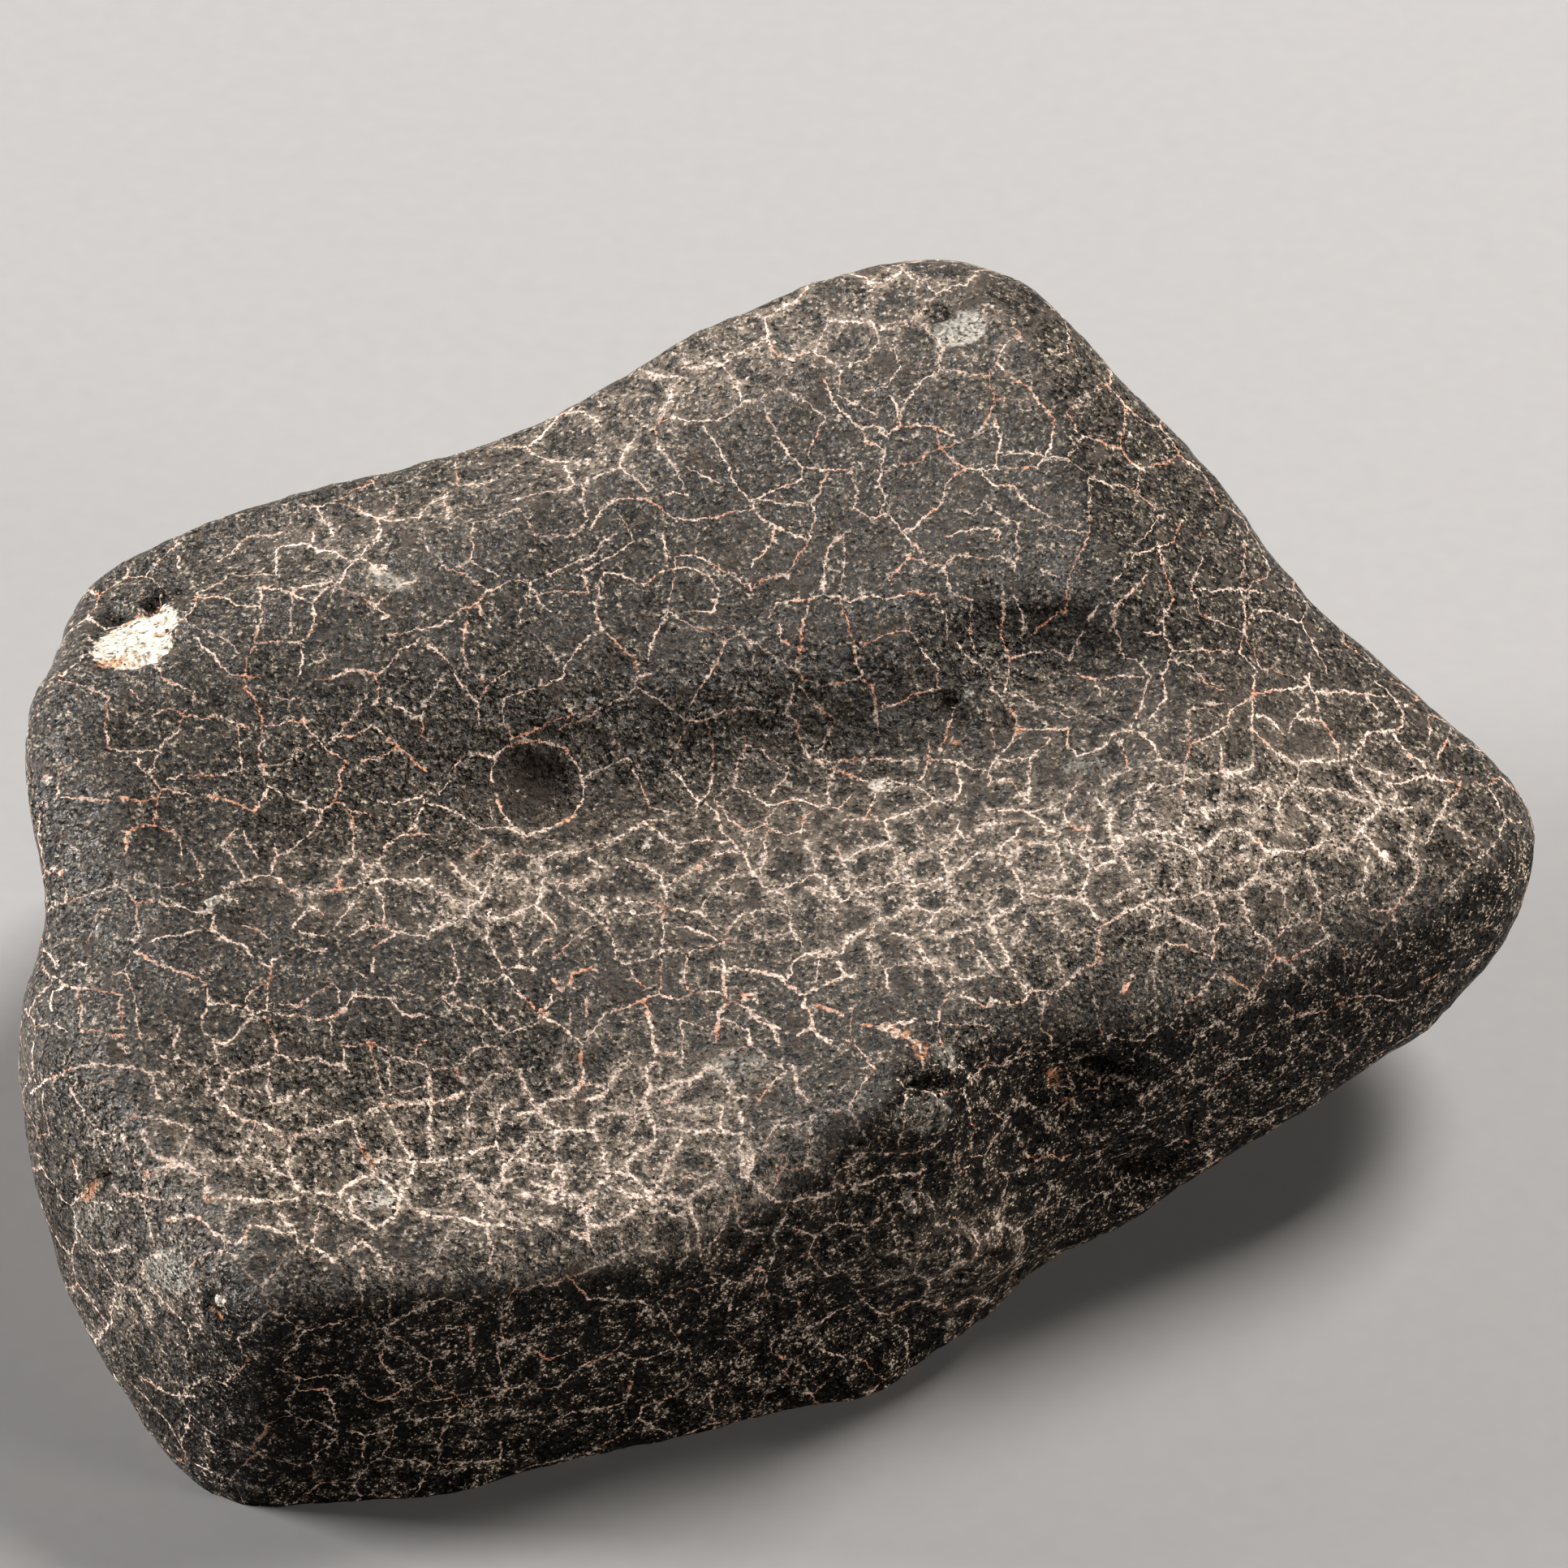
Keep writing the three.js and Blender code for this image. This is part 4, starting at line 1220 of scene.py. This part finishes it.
def keep_finishes(piece, skin, outward, marks, seen):
    """Keeps on each point how much of each finish covers it, painted shade and sheen among them:
    from the tables of patches where the main view sees it, and elsewhere dust and brown patches by
    chance."""
    dust = patch(marks, PALE_FLOORS) + patch(marks, DUST_AND_PAINTED_SHEEN)
    unseen_dust = 0.35 * smooth(swell(skin, 9, 60), 0.0, 0.6)
    unseen_brown = 0.5 * smooth(swell(skin, 7, 61), 0.1, 0.6)
    front = smooth(outward @ facing(*FRONT_FACING), 0.15, 0.55)
    covers = {
        # dust, and painted sheen in a few of its patches
        "dusting": np.clip(seen * dust + (1 - seen) * unseen_dust, 0, 1),
        "browning": np.clip(seen * patch(marks, BROWNED) + (1 - seen) * unseen_brown, 0, 1),
        "cream_chip": seen * spot(marks, CREAM),
        # grey chips, and painted sheen on the left corner
        "grey_chip_and_painted_sheen": seen * spot(marks, GREY_CHIPS_AND_PAINTED_SHEEN),
        "stain": seen * spot(marks, STAINED),
        "lime_blob": seen * spot(marks, LIMED),
        # where the front faces take their painted shade, painted light on lumps and painted glints
        "steep_front": front * smooth(below_rim(marks), -5, 35),
        # painted shade, from its table of patches
        "painted_shade": seen * patch(marks, PAINTED_SHADE_PATCHES),
        "ledged": seen * on_scarp(marks),
    }
    for name, cover in covers.items():
        keep_on(piece, name, cover)


def stone_skin():
    """The stone: rays from the core to the form, the relief added along the normals, and all
    that would reach below the flat spot laid onto it. Seen is 1 where the skin faces the main
    view and 0 where it is turned away."""
    direction, quads = blown_cube(SKIN_STEPS)
    near, far = (np.full(len(direction), reach) for reach in CORE_SEARCH)
    skin = halved(np.array(CORE), direction, near, far, CORE_HALVINGS)
    outward = outward_at(skin)
    marks = marks_of(skin)
    seen = smooth(-(outward @ VIEW_INTO), 0.0, 0.2)
    points = skin + outward * relief(skin, marks, seen)[:, None]
    points[:, 2] = np.maximum(points[:, 2], 0)
    piece = new_piece("meteorite_crust", points, quads)
    keep_cracks(piece, skin, quads, marks, seen)
    keep_on(piece, "skin_place", skin)
    keep_finishes(piece, skin, outward, marks, seen)
    return piece


# ---- materials ----

# Colours of the crust and of what lies on it, as red, green, blue and cover.
DARK_GROUND = (0.027, 0.0184, 0.0118, 1)
PALER_GROUND = (0.054, 0.0385, 0.0255, 1)
PALE_CRYSTAL = (0.093, 0.074, 0.056, 1)
# painted highlights: speckles and fine points standing for glints on the grains
PAINTED_GLINT_SPECKLE = (0.265, 0.215, 0.163, 1)
GLINT = (0.48, 0.41, 0.32, 1)
SMOOTH_BROWN = (0.036, 0.024, 0.0175, 1)
# black painted shade in the crust's pits
PIT_PAINTED_SHADE = (0.005, 0.004, 0.003, 1)
# The front faces, turned away from the lamps, are painted in shade: near black, with painted light
# on their lumps and painted glints.
FRONT_PAINTED_SHADE = (0.0015, 0.0012, 0.001, 1)
FRONT_LUMP_PAINTED_LIGHT = (0.05, 0.038, 0.029, 1)
FRONT_GLINT = (0.36, 0.265, 0.20, 1)
FRONT_BRIGHT_GLINT = (0.9, 0.76, 0.62, 1)
# near black painted over the patches where shade falls
PAINTED_SHADE_BLACK = (0.005, 0.004, 0.0035, 1)
# also the colour of the painted sheen where it lies
DUST_FILM = (0.333, 0.264, 0.204, 1)
DUST_CRUMB = (0.66, 0.545, 0.47, 1)
LIME = (0.81, 0.615, 0.51, 1)
LIME_IN_DUST = (0.94, 0.75, 0.65, 1)
LIME_ORANGE = (0.70, 0.325, 0.20, 1)
# darker lime in the grain's low places, painted shade
LIME_PAINTED_SHADE = (0.25, 0.12, 0.07, 1)
# grey chip colour, also the painted sheen on the left corner
GREY_STONE = (0.50, 0.475, 0.42, 1)
CREAM_SHADE = (0.42, 0.34, 0.255, 1)
CREAM_STONE = (0.74, 0.675, 0.585, 1)
ORANGE_STAIN = (0.60, 0.27, 0.13, 1)
PAPER_TONES = ((0.245, 0.245, 0.25, 1), (0.265, 0.265, 0.27, 1))

CHANCE_MIDDLE = (0.5, 0.5, 0.5)  # taken off a chance colour, so that it leans to no side
# The front faces' colours are painted shade, painted light on lumps and painted glints.
FRONT_COVER = 0.92  # how much of the front faces' own colours shows there
SHINE = 0.4
SHINE_IN_FRONT = 0.1


class Recipe:
    """A material's nodes, added and joined one after the other."""

    def __init__(self, name):
        self.material = bpy.data.materials.new(name)
        self.material.use_nodes = True
        self.nodes = self.material.node_tree.nodes
        self.links = self.material.node_tree.links
        self.shader = self.nodes["Principled BSDF"]

    def add(self, kind, inputs=(), **settings):
        """A new node with its settings, and its inputs given by name or number."""
        node = self.nodes.new(kind)
        for key, value in settings.items():
            setattr(node, key, value)
        for key, value in dict(inputs).items():
            self.give(node.inputs[key], value)
        return node

    def give(self, socket, value):
        """Joins another node's output to a socket, or sets the socket to a plain value."""
        if isinstance(value, bpy.types.NodeSocket):
            self.links.new(value, socket)
        else:
            socket.default_value = value

    def maths(self, operation, a, b=0.0, c=0.0, clamp=False):
        """One step of arithmetic on numbers."""
        node = self.add("ShaderNodeMath", {0: a, 1: b, 2: c}, operation=operation, use_clamp=clamp)
        return node.outputs[0]

    def vector(self, operation, a, b=(0, 0, 0), scale=1.0):
        """One step of arithmetic on vectors."""
        inputs = {0: a, "Scale": scale} if operation == "SCALE" else {0: a, 1: b}
        node = self.add("ShaderNodeVectorMath", inputs, operation=operation)
        return node.outputs["Value" if operation in ("DOT_PRODUCT", "LENGTH") else "Vector"]

    def step(self, value, low, high, to_low=0.0, to_high=1.0):
        """An S-shaped step from to_low at low to to_high at high."""
        ends = {"From Min": low, "From Max": high, "To Min": to_low, "To Max": to_high}
        node = self.add(
            "ShaderNodeMapRange", {"Value": value, **ends}, interpolation_type="SMOOTHSTEP"
        )
        return node.outputs["Result"]

    def noise(self, vector, scale, detail=2.0, roughness=0.5, output="Fac"):
        """Chance pattern with so many waves to a millimetre."""
        inputs = {"Vector": vector, "Scale": scale, "Detail": detail, "Roughness": roughness}
        return self.add("ShaderNodeTexNoise", inputs).outputs[output]

    def mix(self, share, first, second):
        """Two colours mixed by a share from 0 to 1."""
        node = self.add("ShaderNodeMix", {0: share, 6: first, 7: second}, data_type="RGBA")
        return node.outputs[2]

    def kept(self, name, output="Fac"):
        """What the mesh keeps under a name."""
        return self.add("ShaderNodeAttribute", attribute_name=name).outputs[output]

    def place(self, scale=1.0):
        """Where a point is on its piece, in metres times a scale."""
        return self.vector("SCALE", self.add("ShaderNodeTexCoord").outputs["Object"], scale=scale)


def crust_patterns(r):
    """What the crust's finishes share: covers kept on the mesh, chance patterns, and crystal
    grains, which are small cells that each have a shade and a tilt of their own."""
    place = r.place(1 / MM)
    # The second cover kept here is where shade is painted.
    p = SimpleNamespace(place=place, front=r.kept("steep_front"), painted_shade=r.kept("painted_shade"))
    p.cloud = r.noise(place, 0.32, 2.0, 0.55)
    p.patchy = r.noise(place, 0.75, 2.0, 0.6)
    p.coarse = r.noise(place, 1.15, 3.0, 0.6)
    p.ragged = r.maths("SUBTRACT", r.noise(place, 2.4, 3.0, 0.75), 0.5)
    p.grain = r.noise(place, 3.0, 3.0, 0.65)
    p.mottle = r.noise(place, 4.0, 4.0, 0.72)
    p.clusters = r.maths("MULTIPLY_ADD", r.maths("SUBTRACT", p.coarse, 0.5), 0.8, p.mottle)
    p.fine = r.maths("MULTIPLY_ADD", p.clusters, 0.9, r.noise(place, 9.0, 2.0, 0.6))

    stretched = r.vector("MULTIPLY", place, (0.8, 1, 1))
    p.crystal = r.add("ShaderNodeTexVoronoi", {"Vector": stretched, "Scale": 8.5}).outputs["Color"]
    p.shades = r.add("ShaderNodeSeparateXYZ", {0: p.crystal}).outputs

    brown = r.maths("MULTIPLY", r.kept("browning"), r.step(p.cloud, 0.25, 0.5, 0.5, 1.0))
    p.brown = r.maths("MAXIMUM", brown, r.step(p.patchy, 0.57, 0.66, 0.0, 0.8))
    p.rough = r.maths("MULTIPLY_ADD", p.brown, -0.65, 1.0)
    p.dusting = r.maths("MULTIPLY", r.kept("dusting"), r.maths("MULTIPLY_ADD", p.brown, -0.8, 1.0))
    return p


def crack_cover(r, front):
    """How much a crack covers each point, and how far the nearest one is. The point is moved a
    little along the skin by chance, and is covered where its distance to one of the pieces near
    it is less than that piece's half width, which is uneven, more so on the front faces."""
    skin = r.kept("skin_place", "Vector")
    shake = r.noise(skin, 2.3, 3.0, 0.8, "Color")
    shake = r.vector("SCALE", r.vector("SUBTRACT", shake, CHANCE_MIDDLE), scale=0.56)
    normal = r.add("ShaderNodeNewGeometry").outputs["Normal"]
    lift = r.vector("DOT_PRODUCT", shake, normal)
    shake = r.vector("SUBTRACT", shake, r.vector("SCALE", normal, scale=lift))
    here = r.vector("ADD", skin, shake)
    widths = r.add("ShaderNodeSeparateXYZ", {0: r.kept("crack_width", "Vector")}).outputs
    thinnest = r.maths("MULTIPLY_ADD", front, -0.6, 0.45)
    uneven = r.step(r.noise(skin, 2.6, 2.0, 0.6), 0.3, 0.72, thinnest, 1.3)
    covers, gaps = [], []
    for k in range(CRACKS_PER_QUAD):
        start = r.kept(f"crack_start_{k + 1}", "Vector")
        run = r.vector("SUBTRACT", r.kept(f"crack_end_{k + 1}", "Vector"), start)
        away = r.vector("SUBTRACT", here, start)
        square = r.maths("MAXIMUM", r.vector("DOT_PRODUCT", run, run), 0.0001)
        share = r.maths("DIVIDE", r.vector("DOT_PRODUCT", away, run), square, clamp=True)
        gap = r.vector("LENGTH", r.vector("SUBTRACT", away, r.vector("SCALE", run, scale=share)))
        over = r.maths("SUBTRACT", gap, r.maths("MULTIPLY", widths[k], uneven))
        there = r.step(widths[k], 0.0, 0.02)
        covers.append(r.maths("MULTIPLY", r.step(over, -0.015, 0.02, 1.0, 0.0), there))
        gaps.append(gap)
    cover = r.maths("MAXIMUM", r.maths("MAXIMUM", covers[0], covers[1]), covers[2])
    return cover, r.maths("MINIMUM", r.maths("MINIMUM", gaps[0], gaps[1]), gaps[2])


def bare_crust(r, p):
    """The crust's colour with painted light and shade in it: a dark ground with paler crystals,
    smooth brown patches, painted glints as speckles and fine points, and pits painted black as
    shade. The front faces are painted in shade, near black, with painted light on lumps and bright
    painted glints, and the painted shade patches are darkened last."""
    crust = r.mix(r.step(p.coarse, 0.35, 0.65), DARK_GROUND, PALER_GROUND)
    crust = r.mix(r.step(p.shades[0], 0.5, 1.0, 0.0, 0.8), crust, PALE_CRYSTAL)
    # Painted glints, as speckles and then as fine points.
    crust = r.mix(r.step(p.mottle, 0.56, 0.64, 0.0, 0.85), crust, PAINTED_GLINT_SPECKLE)
    crust = r.mix(r.step(p.fine, 1.07, 1.17, 0.0, 0.8), crust, GLINT)
    crust = r.mix(p.brown, crust, SMOOTH_BROWN)
    # Pits in the grain's low places, painted black as shade.
    pits = r.maths("MULTIPLY_ADD", r.maths("SUBTRACT", p.grain, 0.5), 0.5, p.mottle)
    crust = r.mix(r.maths("MULTIPLY", r.step(pits, 0.53, 0.44), p.rough), crust, PIT_PAINTED_SHADE)
    # The front faces: painted shade, painted light on the lumps, and painted glints.
    lumps = r.mix(r.step(p.clusters, 0.47, 0.66), FRONT_PAINTED_SHADE, FRONT_LUMP_PAINTED_LIGHT)
    glints = r.mix(p.shades[1], FRONT_GLINT, FRONT_BRIGHT_GLINT)
    front = r.mix(r.step(p.fine, 1.09, 1.15), lumps, glints)
    crust = r.mix(r.maths("MULTIPLY", p.front, FRONT_COVER), crust, front)
    # Painted shade last, over its patches.
    return r.mix(r.maths("MULTIPLY", p.painted_shade, 0.85), crust, PAINTED_SHADE_BLACK)


def dusted(r, p, crust, near):
    """Dust over the crust, which in a few patches is painted sheen: a thin pale film in patches,
    thickest along the cracks, and pale crumbs crowded in it, in lacy rows and beside the cracks."""
    film = r.maths("MULTIPLY_ADD", p.grain, 0.5, p.coarse)
    film = r.maths("MULTIPLY_ADD", r.step(near, 0.06, 0.5), -0.2, film)
    film = r.maths("MULTIPLY", p.dusting, r.step(film, 0.45, 0.78))
    film = r.maths("MULTIPLY", film, r.maths("MULTIPLY_ADD", p.front, -0.45, 1.0))
    crust = r.mix(r.maths("MULTIPLY", film, 0.74, clamp=True), crust, DUST_FILM)
    lace = r.maths("ABSOLUTE", r.maths("SUBTRACT", p.coarse, 0.5))
    lace = r.step(lace, 0.01, 0.045, 0.17, 0.05)
    crumbs = r.maths("MULTIPLY_ADD", p.dusting, lace, r.step(near, 0.0, 0.3, 0.11, 0.0))
    specks = r.maths("MULTIPLY_ADD", p.clusters, 0.5, r.maths("MULTIPLY", p.mottle, 0.5))
    crumbs = r.step(r.maths("ADD", crumbs, specks), 0.64, 0.74)
    return r.mix(r.maths("MULTIPLY", crumbs, 0.75), crust, DUST_CRUMB)


def limed(r, p, crust, crack):
    """Lime in the cracks and where they meet: pink, paler in dust, orange in stretches, and darker
    in its low places, where shade is painted."""
    tint = r.maths("MULTIPLY_ADD", p.dusting, -0.12, r.noise(p.place, 0.55, 2.0, 0.65))
    lime = r.mix(r.maths("MULTIPLY", p.dusting, 0.8), LIME, LIME_IN_DUST)
    lime = r.mix(r.step(tint, 0.455, 0.635), lime, LIME_ORANGE)
    # Painted shade in the lime's low places.
    lime = r.mix(r.step(p.grain, 0.24, 0.44), r.mix(0.6, lime, LIME_PAINTED_SHADE), lime)
    blob = r.step(r.maths("MULTIPLY_ADD", p.ragged, 0.9, r.kept("lime_blob")), 0.4, 0.55)
    return r.mix(r.maths("MAXIMUM", crack, blob), crust, lime)


def chipped(r, p, crust):
    """Grey and cream chips with ragged edges, the grey also standing as painted sheen on the left
    corner, and orange stains over all: the colour, and how much of it is the cream chip's."""
    grey = r.maths("MULTIPLY_ADD", p.ragged, 0.9, r.kept("grey_chip_and_painted_sheen"))
    crust = r.mix(r.step(grey, 0.3, 0.75, 0.0, 0.85), crust, GREY_STONE)
    cream = r.step(r.maths("MULTIPLY_ADD", p.ragged, 0.85, r.kept("cream_chip")), 0.42, 0.52)
    flesh = r.mix(r.step(p.grain, 0.38, 0.55), CREAM_SHADE, CREAM_STONE)
    crust = r.mix(cream, crust, flesh)
    stain = r.step(r.maths("MULTIPLY_ADD", p.ragged, 1.5, r.kept("stain")), 0.35, 0.8)
    return r.mix(r.maths("MULTIPLY", stain, 0.7), crust, ORANGE_STAIN), cream


def crust_normal(r, p):
    """The crust's fine relief: grains, speckles, coarse lumps and the scarp's ledges as height,
    softer in brown patches, and every crystal tilted its own way."""
    ledges = r.noise(r.vector("MULTIPLY", p.place, (0.35, 1, 1)), 1.5, 1.0, 0.55)
    ledges = r.maths("MULTIPLY", ledges, r.maths("MULTIPLY_ADD", r.kept("ledged"), 0.8, 0.12))
    height = r.maths("MULTIPLY_ADD", p.grain, 0.5, ledges)
    height = r.maths("MULTIPLY_ADD", p.mottle, 0.26, height)
    lumps = r.maths("MULTIPLY_ADD", p.front, 0.30, 0.42)
    height = r.maths("MULTIPLY_ADD", p.coarse, lumps, height)
    strength = r.maths("MULTIPLY_ADD", p.brown, -0.55, 1.0)
    bump = {"Height": height, "Distance": MM, "Strength": strength}
    normal = r.add("ShaderNodeBump", bump).outputs[0]
    tilt = r.vector("SUBTRACT", p.crystal, CHANCE_MIDDLE)
    tilt = r.vector("SCALE", tilt, scale=r.maths("MULTIPLY", p.rough, 1.5))
    return r.vector("NORMALIZE", r.vector("ADD", normal, tilt))


def crust_roughness(r, p, crack, cream):
    """Glossier and duller by chance, and dullest in cracks, the cream chip, brown and dust."""
    matt = r.maths("MAXIMUM", r.maths("MAXIMUM", crack, cream), r.maths("MULTIPLY", p.dusting, 0.5))
    matt = r.maths("MAXIMUM", matt, p.brown)
    return r.maths("MULTIPLY_ADD", matt, 0.35, r.step(p.coarse, 0.35, 0.65, 0.32, 0.52))


def fusion_crust():
    """Dark grainy crust with painted glints, painted shade and a little painted sheen, brown
    patches, pale dust, chips and the crack net.
    """
    r = Recipe("fusion_crust")
    p = crust_patterns(r)
    crack, near = crack_cover(r, p.front)
    crust = limed(r, p, dusted(r, p, bare_crust(r, p), near), crack)
    crust, cream = chipped(r, p, crust)
    shine = r.maths("MULTIPLY_ADD", p.front, SHINE_IN_FRONT - SHINE, SHINE)
    # Less shine where shade is painted.
    shine = r.maths("MULTIPLY", shine, r.maths("MULTIPLY_ADD", p.painted_shade, -0.85, 1.0))
    r.give(r.shader.inputs["Base Color"], crust)
    r.give(r.shader.inputs["Roughness"], crust_roughness(r, p, crack, cream))
    r.give(r.shader.inputs["Normal"], crust_normal(r, p))
    # The plain shine stays for whatever reads the material without this link.
    r.give(r.shader.inputs["Specular IOR Level"], SHINE)
    r.give(r.shader.inputs["Specular IOR Level"], shine)
    return r.material


def floor_paper():
    """Plain pale paper with a faint tooth."""
    r = Recipe("floor_paper")
    tooth = r.noise(r.place(), 900.0, 1.0, 0.6)
    r.give(r.shader.inputs["Base Color"], r.mix(tooth, *PAPER_TONES))
    r.give(r.shader.inputs["Roughness"], 0.9)
    return r.material


# ---- stage, light and camera ----

# Each lamp's azimuth and elevation, the length of its side in metres, its power in watts and
# its colour.
LAMPS = {
    "back_lamp": (135, 52, 0.2, 6.0, (1.0, 0.955, 0.90)),
    "left_lamp": (258, 11, 0.18, 9.3, (1.0, 0.965, 0.93)),
    "right_lamp": (70, 10, 0.15, 2.1, (1.0, 0.93, 0.86)),
}
LAMP_DISTANCE = 0.55
LAMPS_AIM = (0, 0, 0.015)
ROOM_COLOUR = (1.0, 0.98, 0.95, 1)
ROOM_STRENGTH = 0.03


def lay_floor():
    """A level sheet two metres wide."""
    half = 1000.0
    corners = np.array([(-half, -half, 0), (half, -half, 0), (half, half, 0), (-half, half, 0)])
    floor = new_piece("floor", corners, np.array([[0, 1, 2, 3]]))
    floor.data.materials.append(floor_paper())


def add_lamp(name, azimuth, elevation, size, power, colour):
    """A soft square lamp that looks at the stone from a direction."""
    lamp = bpy.data.lights.new(name, "AREA")
    lamp.size = size
    lamp.energy = power
    lamp.color = colour
    holder = bpy.data.objects.new(name, lamp)
    holder.location = facing(azimuth, elevation) * LAMP_DISTANCE + np.array(LAMPS_AIM)
    a, e = math.radians(azimuth), math.radians(elevation)
    holder.rotation_euler = (math.pi / 2 - e, 0, a)
    bpy.context.scene.collection.objects.link(holder)


def light_the_stage():
    """A large soft lamp behind the stone, a lower one from the left, a faint one from the right
    and a dim room."""
    for name, lamp in LAMPS.items():
        add_lamp(name, *lamp)
    world = bpy.data.worlds.new("room")
    world.use_nodes = True
    background = world.node_tree.nodes["Background"]
    background.inputs["Color"].default_value = ROOM_COLOUR
    background.inputs["Strength"].default_value = ROOM_STRENGTH
    bpy.context.scene.world = world
    bpy.context.scene.view_settings.view_transform = "Standard"


def add_camera():
    """The main view: 45 degrees down, with a long lens."""
    camera = bpy.data.cameras.new("main_view")
    camera.lens = LENS
    camera.sensor_width = FILM_WIDTH
    camera.clip_start, camera.clip_end = 0.01, 10
    holder = bpy.data.objects.new("main_view", camera)
    holder.location = EYE * MM
    holder.rotation_euler = (math.radians(90 - VIEW_DOWN), 0, 0)
    bpy.context.scene.collection.objects.link(holder)
    bpy.context.scene.camera = holder


crust = stone_skin()
crust.data.materials.append(fusion_crust())
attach(crust, "root")
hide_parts("meteorite")

lay_floor()
light_the_stage()
add_camera()
